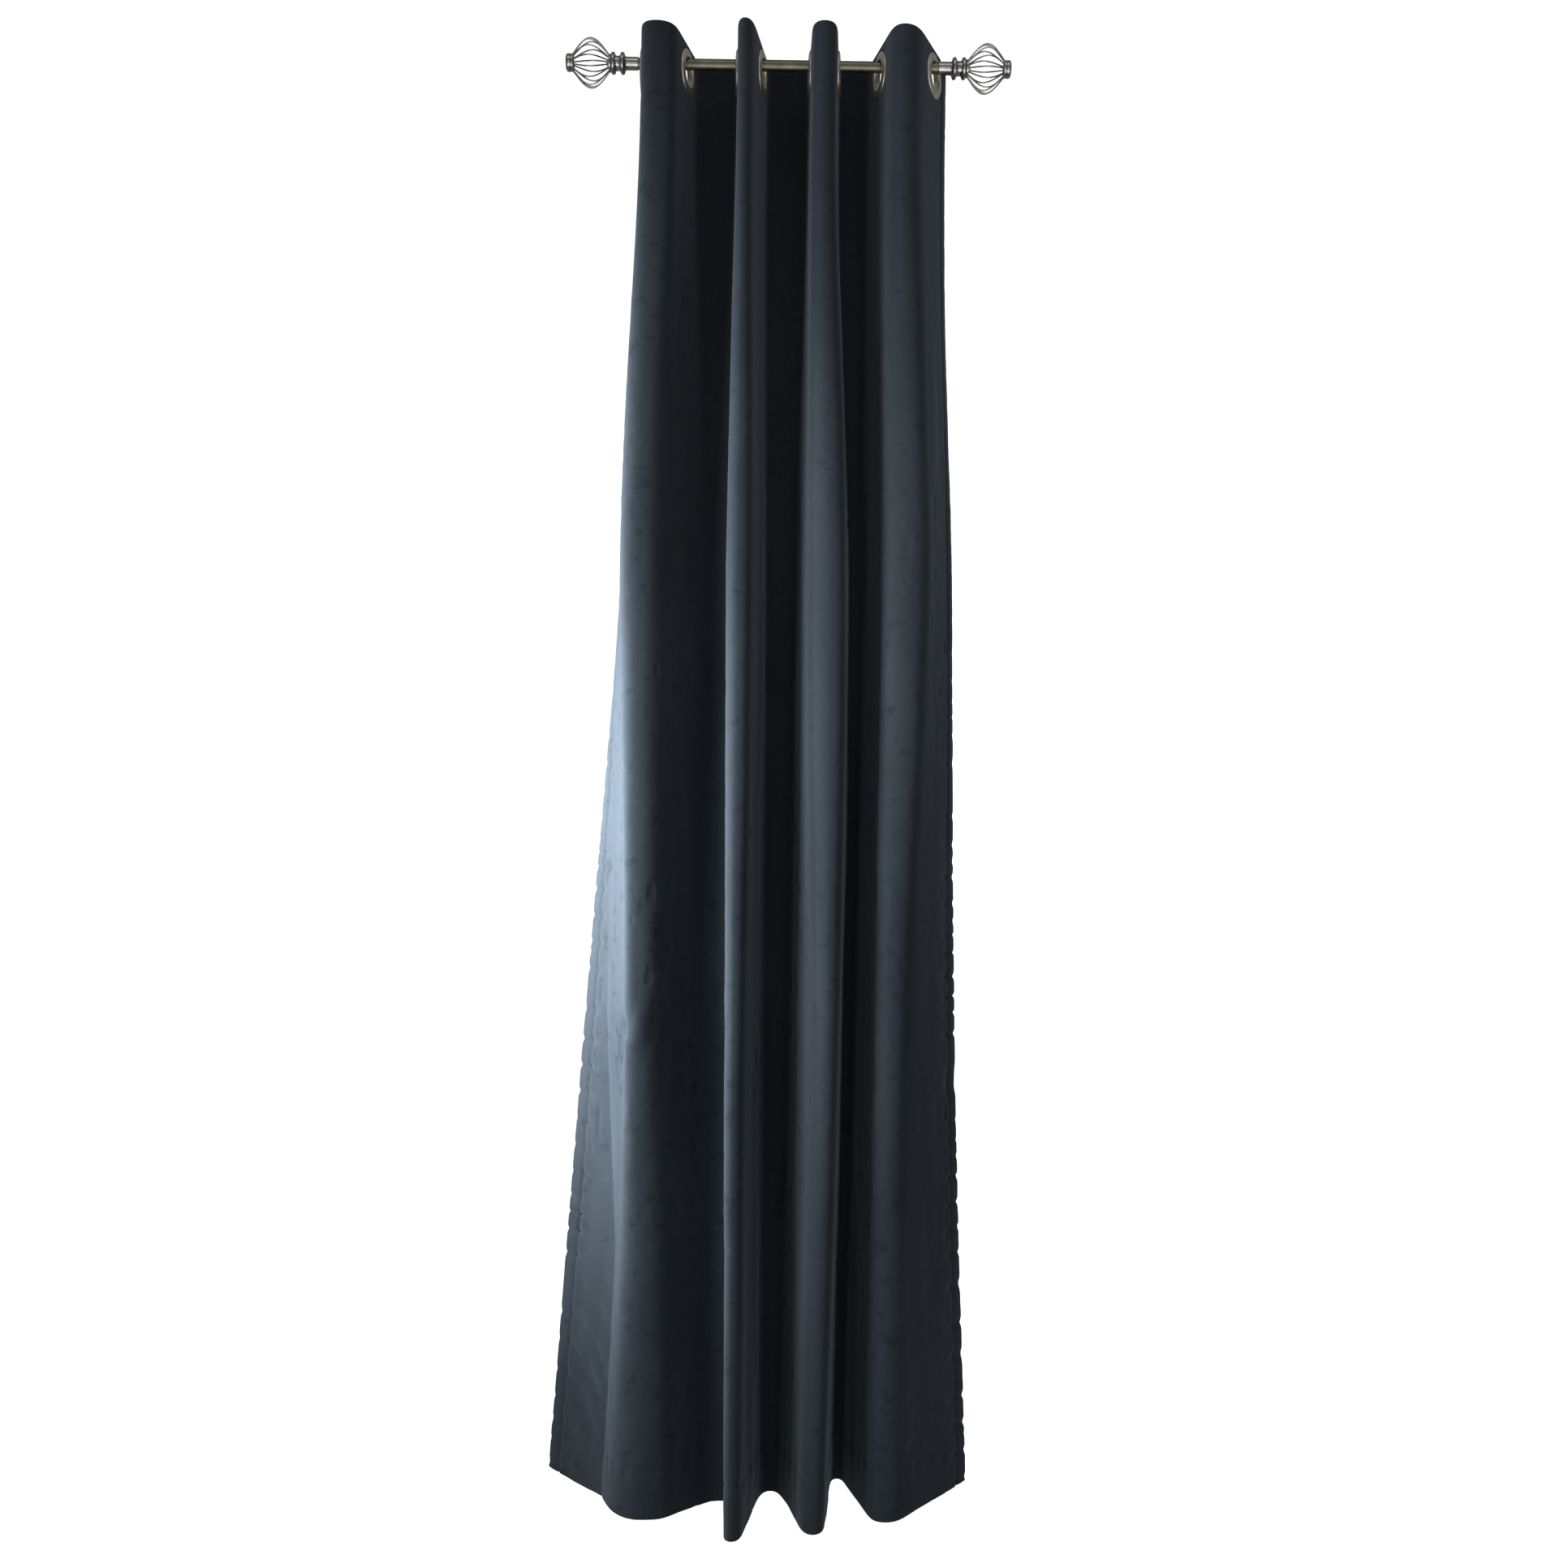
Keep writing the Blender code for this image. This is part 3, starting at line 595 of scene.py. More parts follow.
def turned_columns():
    """Each column's distance across, and its offset behind the face where the side edges turn in."""
    roll = -HEM_OFFSET / 2
    angles = np.radians(np.linspace(-90, 90, ROLL_STEPS))
    behind = np.arange(SIDE_HEM, FINE_COLUMN * 0.9, -FINE_COLUMN)
    fine = np.arange(FINE_COLUMN, LEADING_FOLD, FINE_COLUMN)
    first, last = LEADING_FOLD, PANEL_WIDTH - 2 * SIDE_HEM
    middle = np.concatenate([fine, np.linspace(first, last, round((last - first) / COLUMN))])
    left = np.concatenate([behind, roll * (1 - np.cos(angles))])
    right = np.concatenate([left, np.arange(FINE_COLUMN, 2 * SIDE_HEM - FINE_COLUMN / 2, FINE_COLUMN)])
    offset = np.concatenate([np.full(len(behind), -2 * roll), -roll * (1 - np.sin(angles))])
    across = np.concatenate([left, middle, PANEL_WIDTH - right[::-1]])
    flat = np.zeros(len(across) - 2 * len(offset))
    return across, np.concatenate([offset, flat, offset[::-1]])


def turned_rows():
    """Each row's distance from its edge, its angle round that edge's roll, and if the edge is the top."""
    angles = np.radians(np.linspace(-90, 90, ROLL_STEPS))
    facing = np.arange(HEADING_DEPTH, HEADING_ROW * 0.9, -HEADING_ROW)
    heading = np.arange(HEADING_ROW, HEADING_DEPTH, HEADING_ROW)
    above, below = PINCH_ROWS
    body = np.concatenate(
        [
            np.linspace(HEADING_DEPTH, above, round((above - HEADING_DEPTH) / ROW), endpoint=False),
            np.linspace(above, below, round((below - above) / FINE_ROW), endpoint=False),
            np.linspace(below, PANEL_DROP - ROW, round((PANEL_DROP - below) / ROW)),
        ]
    )
    hem = np.arange(ROW, BOTTOM_HEM, HEM_ROW)
    distance = np.concatenate([facing, 0 * angles, heading, body, 0 * angles, hem])
    front, back = math.pi / 2, -math.pi / 2
    turn = np.concatenate(
        [0 * facing + back, angles, 0 * heading + front, 0 * body + front, angles[::-1], 0 * hem + back]
    )
    of_top = np.arange(len(distance)) < len(distance) - len(angles) - len(hem)
    return distance, turn, of_top


def eyelet_distance(u, v):
    """Distance on the flat cloth to the nearest eyelet's centre."""
    places = EYELET_EDGE_MARGIN + EYELET_PITCH * np.arange(EYELET_COUNT)
    sideways = np.abs(u[..., None] - places).min(axis=-1)
    return np.hypot(sideways, v - (PANEL_TOP - EYELET_Z))


def pierced_faces(u, v):
    """Quads over a grid of rows and columns, without those that the eyelets' barrels go through."""
    kept = eyelet_distance(u, v) > EYELET_HOLE / 2 + EYELET_BARREL_WALL + BARREL_CLEARANCE
    height, width = u.shape
    rows, columns = np.mgrid[0 : height - 1, 0 : width - 1]
    first = rows * width + columns
    quads = np.stack([first, first + width, first + width + 1, first + 1], axis=-1).reshape(-1, 4)
    return quads[kept.ravel()[quads].all(axis=1)]


def cloth_mesh(name, points, faces, thickness, made_of):
    """A sheet of cloth of a thickness, from its middle's points."""
    mesh = bpy.data.meshes.new(name)
    used = np.unique(faces)
    renumbered = np.zeros(faces.max() + 1, int)
    renumbered[used] = np.arange(len(used))
    mesh.from_pydata(points.reshape(-1, 3)[used].tolist(), [], renumbered[faces].tolist())
    obj = new_object(name, mesh, made_of)
    solid = obj.modifiers.new("thickness", "SOLIDIFY")
    solid.thickness = thickness
    solid.offset = 0
    graph = bpy.context.evaluated_depsgraph_get()
    final = bpy.data.meshes.new_from_object(obj.evaluated_get(graph))
    obj.modifiers.clear()
    obj.data = final
    final.polygons.foreach_set("use_smooth", [True] * len(final.polygons))
    return obj


def velvet_sheet(folds, made_of):
    """The whole cut of velvet as one sheet, turned in at its sides, heading and hem."""
    u, side = (a[None, :] for a in turned_columns())
    distance, turn, of_top = (a[:, None] for a in turned_rows())
    radius = np.where(of_top, roll_radius(u, -FACING_OFFSET), roll_radius(u, -HEM_OFFSET))
    inward = np.maximum(distance, radius - (radius + side) * np.cos(turn))
    v = np.where(of_top, inward, PANEL_DROP - inward)
    offset = -radius + (radius + side) * np.sin(turn)
    u = np.broadcast_to(u, v.shape)
    points = folds.surface(u, v, offset)
    return cloth_mesh("velvet_curtain", points, pierced_faces(u, v), CLOTH_THICKNESS, made_of)


def interfacing_strip(folds, made_of):
    """The stiff strip between the heading and its facing."""
    side = SIDE_HEM + INTERFACING_SIDE_INSET
    across = np.linspace(side, PANEL_WIDTH - side, INTERFACING_COLUMNS)
    down = np.linspace(INTERFACING_TOP_INSET, HEADING_DEPTH - INTERFACING_BOTTOM_INSET, INTERFACING_ROWS)
    u, v = np.meshgrid(across, down)
    points = folds.surface(u, v, np.full(u.shape, INTERFACING_OFFSET))
    return cloth_mesh("buckram_strip", points, pierced_faces(u, v), INTERFACING_THICKNESS, made_of)


def stitch_shape():
    """One stitch along +X: a short thread that rises from the cloth and dives back in."""
    x = np.linspace(-1, 1, 7)
    rise = 0.55 * STITCH_DIAMETER * (1 - x**4) - 0.35 * STITCH_DIAMETER
    path = np.stack([x * STITCH_LENGTH / 2, 0 * x, rise], axis=1)
    return tube(path, STITCH_DIAMETER / 2, 6)


def stitch_row(name, folds, u, v, made_of):
    """A row of stitches along a line on the face, given by its distances across and down."""
    face = np.full(u.shape, CLOTH_THICKNESS / 2)
    path = folds.surface(u, v, face)
    along = np.gradient(path, axis=0)
    along /= np.linalg.norm(along, axis=1, keepdims=True)
    out = folds.read(folds.normals, u, v)
    across = np.cross(out, along)
    across /= np.linalg.norm(across, axis=1, keepdims=True)
    out = np.cross(along, across)
    wander = np.random.default_rng(71).normal(0, STITCH_WANDER, (len(u), 1)) * across
    points, faces = repeated(*stitch_shape(), (path + wander, along, across, out))
    return new_object(name, mesh_from(name, points, faces, STRAND_SHARP_ANGLE), made_of)


def seam_lines():
    """Each seam's name, the CAD node it stands for, and its distances across and down."""
    across = np.arange(SIDE_SEAM, PANEL_WIDTH - SIDE_SEAM, STITCH_PITCH)
    down = np.arange(SEAM_START, PANEL_DROP - SEAM_START, STITCH_PITCH)
    return (
        ("heading_stitches", "heading_stitching", across, 0 * across + HEADING_SEAM),
        ("bottom_hem_stitches", "bottom_hem_stitching", across, 0 * across + PANEL_DROP - HEM_SEAM),
        ("left_side_stitches", "left_side_stitching", 0 * down + SIDE_SEAM, down),
        ("right_side_stitches", "right_side_stitching", 0 * down + PANEL_WIDTH - SIDE_SEAM, down),
    )


def close_up(obj):
    """Gives a piece its own copy of its mesh."""
    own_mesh(obj)


def curtain(looks):
    """The velvet with its interfacing and stitches. Returns the folds, which place the eyelets."""
    folds = Folds()
    panel = velvet_sheet(folds, looks["velvet"])
    turnings = "heading_facing", "bottom_hem", "left_side_hem", "right_side_hem"
    finish_piece(panel, "panel", "velvet", "velvet_panel", *turnings)
    strip = interfacing_strip(folds, looks["buckram"])
    finish_piece(strip, "panel", "buckram", "heading_interfacing")
    stitches = []
    for name, node, u, v in seam_lines():
        row = stitch_row(name, folds, u, v, looks["thread"])
        stitches.append(finish_piece(row, "panel", "thread", node))
    for piece in (panel, strip, *stitches):
        close_up(piece)
    return folds


# ---- eyelets


def eyelet_grip():
    """Heights from the cloth's middle at which the two flanges close on the heading's layers."""
    return CLOTH_THICKNESS / 2 + LAYER_GAP, FACING_OFFSET - CLOTH_THICKNESS / 2 - LAYER_GAP


def rounded(points, samples=6):
    """A smooth line that follows (radius, height) points."""
    return [tuple(p) for p in spline(np.array(points, float), samples)]


def eyelet_front_mesh():
    """The face half: a domed flange rolled into the barrel."""
    face, back = eyelet_grip()
    hole, rim, dome = EYELET_HOLE / 2, EYELET_DIAMETER / 2, EYELET_DOME
    barrel = hole + EYELET_BARREL_WALL
    top = rounded(
        [
            (hole, face - 0.001),
            (hole, face + dome * 0.55),
            (hole + 0.0006, face + dome * 0.95),
            (hole + 0.0030, face + dome * 1.02),
            (rim - 0.0050, face + dome * 0.92),
            (rim - 0.0015, face + dome * 0.72),
            (rim, face + dome * 0.35),
            (rim, face + dome * 0.1),
        ]
    )
    foot = back - dome * 0.6
    tip = (barrel, foot + 0.0003), (barrel - 0.0004, foot), (hole + 0.0003, foot)
    return lathe("eyelet_front", [(barrel, face), *tip, *top, (rim, face)], EYELET_SIDES, closed=True)


def eyelet_back_mesh():
    """The back half: a flange that snaps round the barrel."""
    back = eyelet_grip()[1]
    rim, dome = EYELET_DIAMETER / 2, EYELET_DOME
    inner = EYELET_HOLE / 2 + EYELET_BARREL_WALL + FIT_GAP
    under = rounded(
        [
            (rim, back - dome * 0.1),
            (rim, back - dome * 0.35),
            (rim - 0.0015, back - dome * 0.72),
            (rim - 0.0050, back - dome * 0.92),
            (inner + 0.0020, back - dome),
            (inner + 0.0002, back - dome * 0.85),
            (inner, back - dome * 0.5),
        ]
    )
    return lathe("eyelet_back", [(inner, back), (rim, back), *under], EYELET_SIDES, closed=True)


def eyelets(folds, metal):
    """Both halves of each eyelet, square to the cloth that they pierce."""
    halves = {"front": eyelet_front_mesh(), "back": eyelet_back_mesh()}
    for mesh in halves.values():
        mesh.materials.append(metal)
    for i in range(EYELET_COUNT):
        u = np.array([EYELET_EDGE_MARGIN + i * EYELET_PITCH])
        v = np.array([PANEL_TOP - EYELET_Z])
        centre = folds.read(folds.points, u, v)[0]
        facing = Vector(folds.read(folds.normals, u, v)[0])
        facing.z = 0
        turn = facing.normalized().to_track_quat("Z", "Y").to_matrix().to_4x4()
        body = f"eyelet_{i + 1}" if i + 1 < EYELET_COUNT else "panel"
        for half, mesh in halves.items():
            node = f"eyelet_{i + 1}_{half}"
            ring = new_object(f"{node}_ring", mesh)
            ring.matrix_world = Matrix.Translation((centre[0], centre[1], EYELET_Z)) @ turn
            finish_piece(ring, body, "eyelet_metal", node)
            close_up(ring)  # gives the ring its own copy of the shared mesh


# ---- rod and finials


def along_rod(sign, start=0.0):
    """A frame whose +Z points out of one end of the rod."""
    return Matrix.Translation((sign * start, 0, 0)) @ Matrix.Rotation(sign * math.pi / 2, 4, "Y")


def rod(metal):
    """The rod's tube, with its outer edges broken."""
    outer, half, inner = ROD_DIAMETER / 2, ROD_LENGTH / 2, ROD_DIAMETER / 2 - ROD_WALL
    break_edge = 0.0002
    profile = [
        (outer, -half + break_edge),
        (outer, half - break_edge),
        (outer - break_edge, half),
        (inner, half),
        (inner, -half),
        (outer - break_edge, -half),
    ]
    piece = new_object("curtain_rod", lathe("curtain_rod", profile, closed=True), metal)
    piece.matrix_world = along_rod(1)
    finish_piece(piece, "rod", "rod_metal", "rod_tube")


def bead(middle, rim, base):
    """Profile points of one rounded bead, from its far side to its near side."""
    profile = []
    for a in np.radians(np.linspace(90, -90, 13)):
        proud = (rim - base) * max(math.cos(a), 0) ** 0.8
        profile.append((base + proud, middle + math.sin(a) * BEAD_WIDTH / 2))
    return profile


def finial_heights():
    """Distances of the finial's features from the rod's end, outwards."""
    near_bead = NECK_LENGTH + BEAD_WIDTH / 2
    far_bead = near_bead + BEAD_WIDTH + WAIST_LENGTH
    return near_bead, far_bead, far_bead + BEAD_WIDTH / 2


def cage_bounds():
    """Distances of the cage's two ends from the rod's end."""
    start = finial_heights()[2] + FIT_GAP
    return start, start + CAGE_LENGTH


def base_mesh():
    """The turned neck with its two beads and hollow waist, and the stub inside the rod."""
    near_bead, far_bead, seat = finial_heights()
    neck, waist, rim = NECK_DIAMETER / 2, WAIST_DIAMETER / 2, BEAD_DIAMETER / 2
    bore = SCREW_DIAMETER / 2 + FIT_GAP
    low, high = near_bead + BEAD_WIDTH / 2, far_bead - BEAD_WIDTH / 2
    shares = np.linspace(0, 1, 11)[1:-1]
    hollow = [(waist + 0.001 * (2 * s - 1) ** 2, high + (low - high) * s) for s in shares]
    profile = [
        (0, seat - SCREW_DEPTH),
        (bore, seat - SCREW_DEPTH),
        (bore, seat),
        (HUB_DIAMETER / 2 - 0.002, seat),
        *bead(far_bead, rim, waist + 0.001),
        *hollow,
        *bead(near_bead, rim, waist + 0.001)[:-1],
        (neck + 0.0012, NECK_LENGTH - 0.0004),
        (neck + 0.0004, NECK_LENGTH - 0.0014),
        (neck, NECK_LENGTH - 0.0030),
        (neck, FIT_GAP + 0.0003),
        (neck - 0.0003, FIT_GAP),
        (STUB_DIAMETER / 2, FIT_GAP),
        (STUB_DIAMETER / 2, -PLUG_LENGTH),
        (0, -PLUG_LENGTH),
    ]
    return lathe("finial_base", profile)


def wire_shape():
    """Points and faces of one cage wire, from disc to disc."""
    start, end = cage_bounds()
    low, high = start + HUB_THICKNESS / 2, end - HUB_THICKNESS / 2
    foot = HUB_DIAMETER / 2 - WIRE_DIAMETER
    swell = (CAGE_DIAMETER - WIRE_DIAMETER) / 2 - foot
    share = np.linspace(0, 1, WIRE_STEPS)
    radius = foot + swell * np.sin(np.pi * share) ** 1.08
    path = np.stack([radius, 0 * share, low + (high - low) * share], axis=1)
    return tube(path, WIRE_DIAMETER / 2, WIRE_SIDES)


def disc_profile(low, hole):
    """A drilled disc's profile, with its outer edges eased."""
    high, outer, ease = low + HUB_THICKNESS, HUB_DIAMETER / 2, 0.0004
    rim = (outer - ease, high), (outer, high - ease), (outer, low + ease), (outer - ease, low)
    return [(hole, low), (hole, high), *rim]


def cage_mesh():
    """The wires and the two discs that they are welded to, in one mesh."""
    start, end = cage_bounds()
    angles = 2 * np.pi * (np.arange(CAGE_WIRES) + 0.25) / CAGE_WIRES
    zero, one = 0 * angles, 0 * angles + 1
    out = np.stack([np.cos(angles), np.sin(angles), zero], axis=1)
    around = np.stack([-np.sin(angles), np.cos(angles), zero], axis=1)
    up = np.stack([zero, zero, one], axis=1)
    points, faces = repeated(*wire_shape(), (0 * up, out, around, up))
    work = bmesh.new()
    discs = (start, SCREW_DIAMETER / 2 + FIT_GAP), (end - HUB_THICKNESS, RIVET_DIAMETER / 2 + FIT_GAP)
    parts = [mesh_from("wires", points, faces, STRAND_SHARP_ANGLE)]
    parts += [lathe("disc", disc_profile(low, hole), closed=True) for low, hole in discs]
    for part in parts:
        work.from_mesh(part)
        bpy.data.meshes.remove(part)
    mesh = bpy.data.meshes.new("finial_cage")
    work.to_mesh(mesh)
    work.free()
    return mesh


def cap_mesh():
    """The button on the end disc, with its rivet and a flat outer face."""
    end = cage_bounds()[1]
    foot, top = end + FIT_GAP, end + FIT_GAP + CAP_THICKNESS
    rim, rivet = CAP_DIAMETER / 2, RIVET_DIAMETER / 2
    crown = rounded(
        [
            (rim * 0.70, top),
            (rim * 0.86, top - CAP_THICKNESS * 0.06),
            (rim * 0.95, top - CAP_THICKNESS * 0.22),
            (rim, top - CAP_THICKNESS * 0.45),
            (rim, foot + CAP_THICKNESS * 0.28),
            (rim * 0.96, foot + CAP_THICKNESS * 0.06),
            (rim * 0.90, foot),
        ]
    )
    inner = end - HUB_THICKNESS - FIT_GAP
    profile = [(0, top), (rim * 0.64, top), *crown, (rivet, foot), (rivet, inner), (0, inner)]
    return lathe("finial_cap", profile)


def finials(metal):
    """The base, cage and cap of both finials."""
    makers = {"base": base_mesh(), "cage": cage_mesh(), "cap": cap_mesh()}
    for mesh in makers.values():
        mesh.materials.append(metal)
    for side, sign in (("left", -1), ("right", 1)):
        for part, mesh in makers.items():
            piece = new_object(f"{side}_finial_{part}_detail", mesh)
            piece.matrix_world = along_rod(sign, ROD_LENGTH / 2)
            finish_piece(piece, f"{side}_finial", "nickel", f"{side}_finial_{part}")


# ---- materials


class Look:
    """A node material around one Principled shader, with patterns read from object coordinates."""

    def __init__(self, name, **sockets):
        self.material = bpy.data.materials.new(name)
        self.material.use_nodes = True
        self.tree = self.material.node_tree
        self.shader = self.tree.nodes["Principled BSDF"]
        for socket, value in sockets.items():
            self.shader.inputs[socket.replace("_", " ")].default_value = value
        self.coordinates = self.tree.nodes.new("ShaderNodeTexCoord").outputs["Object"]

    def node(self, kind, settings=(), **inputs):
        """A node with its settings, whose inputs are links or values."""
        made = self.tree.nodes.new(kind)
        for name, value in dict(settings).items():
            setattr(made, name, value)
        for name, value in inputs.items():
            socket = made.inputs[name.replace("_", " ")]
            if isinstance(value, bpy.types.NodeSocket):
                self.tree.links.new(value, socket)
            else:
                socket.default_value = value
        return made

    def noise(self, scale, detail=2.0, stretch=(1, 1, 1), roughness=0.5):
        """Noise from 0 to 1, finer along the axes that stretch names."""
        placed = self.node("ShaderNodeMapping", Vector=self.coordinates, Scale=stretch)
        made = self.node(
            "ShaderNodeTexNoise", Vector=placed.outputs[0], Scale=scale, Detail=detail, Roughness=roughness
        )
        return made.outputs["Fac"]

    def ramp(self, value, *stops):
        """A value mapped through (position, colour or grey) stops."""
        made = self.node("ShaderNodeValToRGB", Fac=value)
        ramp = made.color_ramp
        while len(ramp.elements) < len(stops):
            ramp.elements.new(0.5)
        for element, (position, colour) in zip(ramp.elements, stops):
            element.position = position
            element.color = (*colour, 1) if isinstance(colour, tuple) else (colour, colour, colour, 1)
        return made.outputs["Color"]

    def mix(self, blend, factor, a, b):
        """Two colours blended by a share."""
        made = self.node("ShaderNodeMix", {"data_type": "RGBA", "blend_type": blend})
        for name, value in (("Factor", factor), ("A", a), ("B", b)):
            kind = "VALUE" if name == "Factor" else "RGBA"
            socket = next(s for s in made.inputs if s.name == name and s.type == kind)
            if isinstance(value, bpy.types.NodeSocket):
                self.tree.links.new(value, socket)
            else:
                socket.default_value = value
        return next(s for s in made.outputs if s.type == "RGBA")

    def bump(self, height, strength, distance, below=None):
        """A normal raised by a pattern, on top of another normal where one is given."""
        inputs = {"Height": height, "Strength": strength, "Distance": distance}
        if below:
            inputs["Normal"] = below
        return self.node("ShaderNodeBump", **inputs).outputs["Normal"]

    def connect(self, **sockets):
        """The finished material, with these outputs joined to its shader."""
        for name, value in sockets.items():
            self.tree.links.new(value, self.shader.inputs[name.replace("_", " ")])
        return self.material


def velvet_look():
    """Charcoal velvet: dark pile that lights up where it is seen along its tips, crushed here and there, with
    painted sheen: lighter and darker patches in the base colour where the pile is crushed.
    """
    look = Look("charcoal_velvet", Metallic=0.0, Roughness=0.9, Specular_IOR_Level=0.15)
    look.shader.inputs["Sheen Weight"].default_value = 0.35
    look.shader.inputs["Sheen Roughness"].default_value = 0.4
    look.shader.inputs["Sheen Tint"].default_value = (0.62, 0.73, 0.85, 1)
    broad = look.noise(7, 3, (1, 1, 0.45))
    crush = look.noise(38, 4, (1, 1, 1.3), 0.55)
    pile = look.noise(900, 2)
    tone = look.ramp(broad, (0.3, (0.024, 0.030, 0.037)), (0.7, (0.035, 0.043, 0.052)))
    # painted sheen: the crushed pile's uneven shine, painted as darker and lighter patches in the base
    # colour; the crush's dents are real bumps
    marks = look.ramp(crush, (0.30, 0.70), (0.42, 1.0), (0.62, 1.0), (0.75, 1.22))
    colour = look.mix("MULTIPLY", 1.0, tone, marks)
    colour = look.mix("MULTIPLY", 0.5, colour, look.ramp(pile, (0.3, 0.55), (0.7, 1.3)))
    normal = look.bump(crush, 0.22, 0.0016)
    normal = look.bump(pile, 0.30, 0.0004, normal)
    rough = look.ramp(crush, (0.3, 0.82), (0.7, 1.0))
    return look.connect(Base_Color=colour, Roughness=rough, Normal=normal)


def thread_look():
    """Twisted polyester thread, a shade lighter than the velvet."""
    look = Look("charcoal_thread", Metallic=0.0, Roughness=0.55)
    twist = look.noise(2400, 1, (1, 1, 1.5))
    colour = look.ramp(twist, (0.3, (0.014, 0.018, 0.023)), (0.7, (0.040, 0.049, 0.059)))
    return look.connect(Base_Color=colour, Normal=look.bump(twist, 0.4, 0.0002))


def buckram_look():
    """Stiff white interfacing with an open weave."""
    look = Look("white_buckram", Metallic=0.0, Roughness=0.9)
    placed = {"Vector": look.coordinates, "Scale": 180.0}
    lying, standing = ({"wave_type": "BANDS", "bands_direction": axis} for axis in "ZX")
    weft = look.node("ShaderNodeTexWave", lying, **placed, Distortion=0.6)
    warp = look.node("ShaderNodeTexWave", standing, **placed)
    weave = look.mix("MULTIPLY", 1.0, weft.outputs["Color"], warp.outputs["Color"])
    colour = look.ramp(weave, (0.0, (0.55, 0.54, 0.50)), (0.6, (0.78, 0.77, 0.73)))
    return look.connect(Base_Color=colour, Normal=look.bump(weave, 0.5, 0.0002))


def metal_look(name, dark, bright, roughness, grain, streak):
    """Metal with fine scratches along one way, soft stains and an uneven polish."""
    look = Look(name, Metallic=1.0)
    stains = look.noise(70, 3)
    scratches = look.noise(grain, 2, streak)
    tone = look.ramp(stains, (0.3, dark), (0.7, bright))
    colour = look.mix("MULTIPLY", 0.25, tone, look.ramp(scratches, (0.35, 0.8), (0.65, 1.1)))
    rough = look.ramp(scratches, (0.3, roughness - 0.06), (0.7, roughness + 0.08))
    return look.connect(Base_Color=colour, Roughness=rough, Normal=look.bump(scratches, 0.03, 0.00002))


def nylon_look():
    """Black nylon with a faint moulded grain."""
    look = Look("black_nylon", Metallic=0.0, Specular_IOR_Level=0.45)
    grain = look.noise(500, 2)
    colour = look.ramp(grain, (0.3, 0.012), (0.7, 0.03))
    rough = look.ramp(grain, (0.3, 0.4), (0.7, 0.6))
    return look.connect(Base_Color=colour, Roughness=rough, Normal=look.bump(grain, 0.1, 0.0002))


# Each metal's name, darker and brighter tones, roughness, and the scale and stretch of its scratches
METALS = {
    "pewter": ("olive_pewter", (0.150, 0.138, 0.096), (0.215, 0.198, 0.146), 0.38, 600, (0.04, 1, 1)),
    "eyelet": ("satin_nickel", (0.66, 0.60, 0.50), (0.80, 0.75, 0.65), 0.42, 420, (1, 1, 1)),
    "nickel": ("brushed_nickel", (0.34, 0.32, 0.30), (0.46, 0.44, 0.42), 0.2, 2600, (1, 0.5, 0.5)),
}


def all_looks():
    """Every material, by the name that the pieces ask for it."""
    looks = {"velvet": velvet_look(), "thread": thread_look(), "buckram": buckram_look()}
    looks.update((name, metal_look(*finish)) for name, finish in METALS.items())
    looks["nylon"] = nylon_look()
    return looks


def dress_cad_nodes(looks):
    """Screws and plugs keep their CAD shapes and get finished materials."""
    for side in ("left", "right"):
        for part, look in (("screw", "nickel"), ("plug", "nylon")):
            for slot in frame["nodes"][f"{side}_finial_{part}"].material_slots:
                slot.material = looks[look]


# ---- stage, light and camera


def aim(obj, place, target):
    """Moves an object to a place and turns its -Z to a target."""
    obj.location = place
    obj.rotation_mode = "QUATERNION"
    obj.rotation_quaternion = (Vector(target) - Vector(place)).to_track_quat("-Z", "Y")


def area_light(name, place, target, size, power, colour=(1, 1, 1), spread=180):
    """A rectangle of light of a width and height, power in watts, that the camera doesn't see."""
    data = bpy.data.lights.new(name, "AREA")
    data.shape = "RECTANGLE"
    data.size, data.size_y = size
    data.energy = power
    data.color = colour
    data.spread = math.radians(spread)
    light = bpy.data.objects.new(name, data)
    light.visible_camera = False
    bpy.context.scene.collection.objects.link(light)
    aim(light, place, target)
    return light


def stage_look(name, colour, glow):
    """A plain glowing surface with hardly any mottle."""
    look = Look(name, Roughness=0.8, Specular_IOR_Level=0.1)
    mottle = look.noise(2.5, 2)
    look.shader.inputs["Emission Color"].default_value = (1, 1, 1, 1)
    look.shader.inputs["Emission Strength"].default_value = glow
    return look.connect(Base_Color=look.ramp(mottle, (0.3, colour), (0.7, min(colour * 1.03, 1))))


# The stage: its floor's drop below the hem, its back wall, the bend between them, its reach and half width
FLOOR_DROP = 0.03
WALL_Y = 2.6
COVE_BEND = 0.9
STAGE_REACH = 6.0
STAGE_HALF_WIDTH = 8.0


def stage():
    """A pale floor under the hem that curves up into a pale backdrop."""
    floor_z = cad_box[0].z - FLOOR_DROP
    curve = [(-STAGE_REACH, floor_z)]
    for a in np.radians(np.linspace(0, 90, 19)):
        y = WALL_Y - COVE_BEND + COVE_BEND * math.sin(a)
        curve.append((y, floor_z + COVE_BEND * (1 - math.cos(a))))
    curve.append((WALL_Y, STAGE_REACH))
    points = [(x, y, z) for y, z in curve for x in (-STAGE_HALF_WIDTH, STAGE_HALF_WIDTH)]
    faces = [(2 * i, 2 * i + 1, 2 * i + 3, 2 * i + 2) for i in range(len(curve) - 1)]
    mesh = bpy.data.meshes.new("cove")
    mesh.from_pydata(points, [], faces)
    mesh.polygons.foreach_set("use_smooth", [True] * len(faces))
    cove = new_object("cove", mesh, stage_look("pale_cove", 0.9, 0.97))
    cove.visible_diffuse = False
    cove.visible_glossy = False


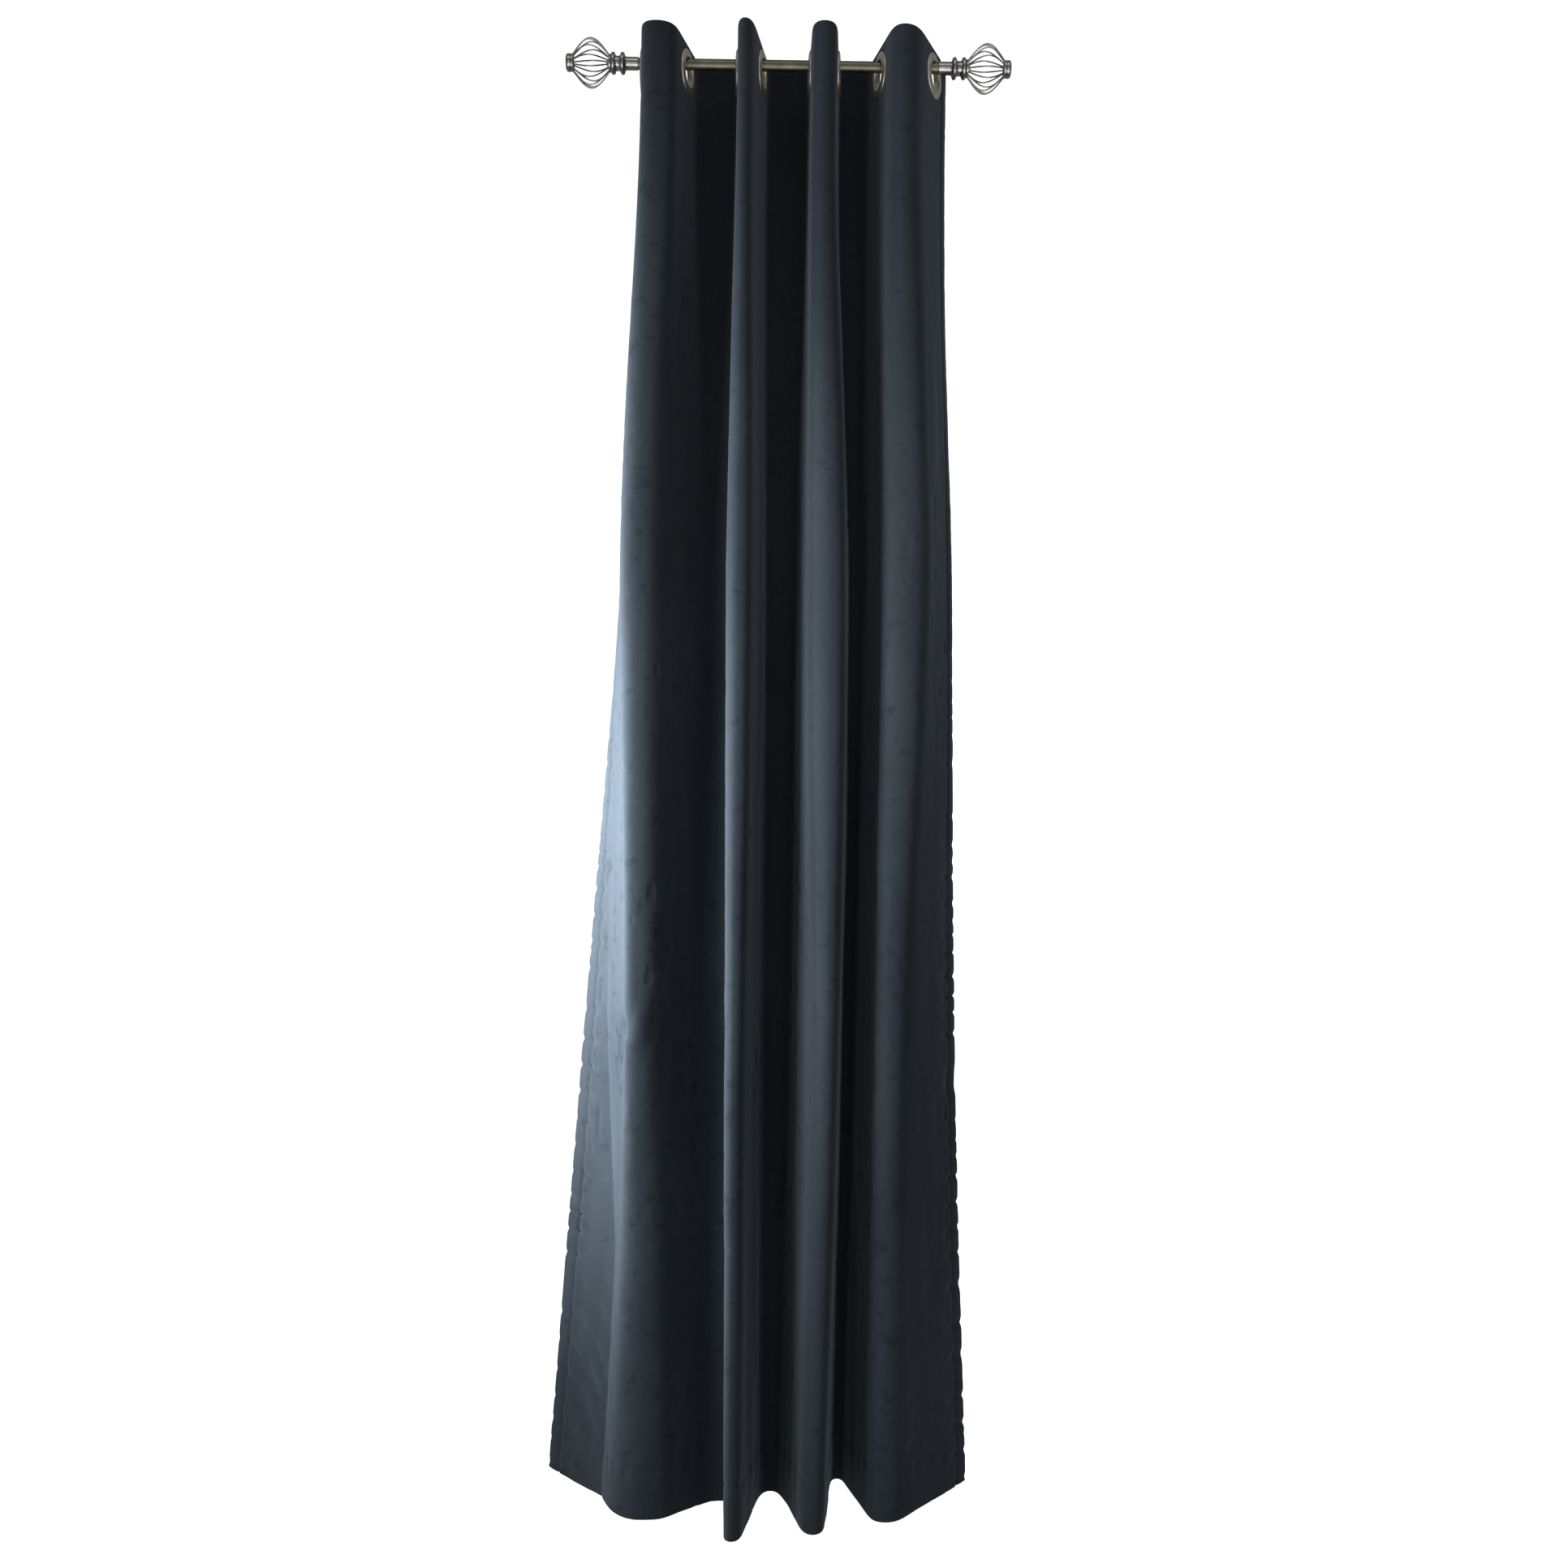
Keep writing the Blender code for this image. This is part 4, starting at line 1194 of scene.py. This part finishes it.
def world():
    """Weak cool light from all round."""
    made = bpy.data.worlds.new("studio")
    made.use_nodes = True
    background = made.node_tree.nodes["Background"]
    background.inputs["Color"].default_value = (0.94, 0.97, 1.0, 1)
    background.inputs["Strength"].default_value = 0.2
    bpy.context.scene.world = made


# Soft window lights: name, bearing in degrees from the left towards the room, distance, width and power
WINDOW_Z = -1.06
WINDOW_HEIGHT = 0.6
WINDOW_SPREAD = 110
WINDOW_COLOUR = (0.93, 0.97, 1.0)
WINDOWS = (("window_side", -4, 0.7, 0.40, 29), ("window_room", 50, 1.0, 0.5, 14))


def lights():
    """Windows at the left, weak fills, and glows that only the metals mirror."""
    middle = (cad_box[0] + cad_box[1]) / 2
    left = cad_box[0].x
    folds = Vector((0, -0.05, WINDOW_Z))
    for name, bearing, reach, width, power in WINDOWS:
        turn = math.radians(bearing)
        place = folds + Vector((left - reach * math.cos(turn), -reach * math.sin(turn), 0))
        size = width, WINDOW_HEIGHT
        window = area_light(name, place, folds, size, power, WINDOW_COLOUR, WINDOW_SPREAD)
        window.visible_glossy = False
    area_light("front_fill", (0.3, -2.6, -0.8), middle, (1.6, 1.6), 6)
    area_light("right_fill", (1.6, -0.3, -1.5), (0, 0, -1.4), (1.0, 1.4), 2.2).visible_glossy = False
    area_light("metal_glow_above", (0.0, -0.75, 0.85), (0, 0, 0), (1.8, 0.7), 3).visible_diffuse = False
    area_light("metal_glow_below", (0.0, -0.65, -0.75), (0, 0, 0), (1.8, 0.6), 6.5).visible_diffuse = False


# The camera: place, turns in degrees, and focal length and sensor width in millimetres
CAMERA_PLACE = (0.008, -2.14, -1.053)
CAMERA_YAW, CAMERA_PITCH, CAMERA_ROLL = 0.04, 0.09, 0.88
CAMERA_LENS, CAMERA_SENSOR = 33.63, 36.0


def camera():
    """The photo's camera, turned by its yaw, pitch and roll from a level view along +Y."""
    yaw, pitch, roll = (math.radians(a) for a in (CAMERA_YAW, CAMERA_PITCH, CAMERA_ROLL))
    ahead = Vector((math.sin(yaw) * math.cos(pitch), math.cos(yaw) * math.cos(pitch), math.sin(pitch)))
    level = Vector((math.cos(yaw), -math.sin(yaw), 0))
    upright = level.cross(ahead)
    right = math.cos(roll) * level + math.sin(roll) * upright
    up = -math.sin(roll) * level + math.cos(roll) * upright
    data = bpy.data.cameras.new("camera")
    data.lens, data.sensor_width = CAMERA_LENS, CAMERA_SENSOR
    made = bpy.data.objects.new("camera", data)
    bpy.context.scene.collection.objects.link(made)
    made.matrix_world = Matrix.Translation(CAMERA_PLACE) @ Matrix((right, up, -ahead)).transposed().to_4x4()
    bpy.context.scene.camera = made


def build():
    bpy.context.scene.view_settings.view_transform = "Standard"
    looks = all_looks()
    folds = curtain(looks)
    eyelets(folds, looks["eyelet"])
    rod(looks["pewter"])
    finials(looks["nickel"])
    dress_cad_nodes(looks)
    stage()
    world()
    lights()
    camera()


build()
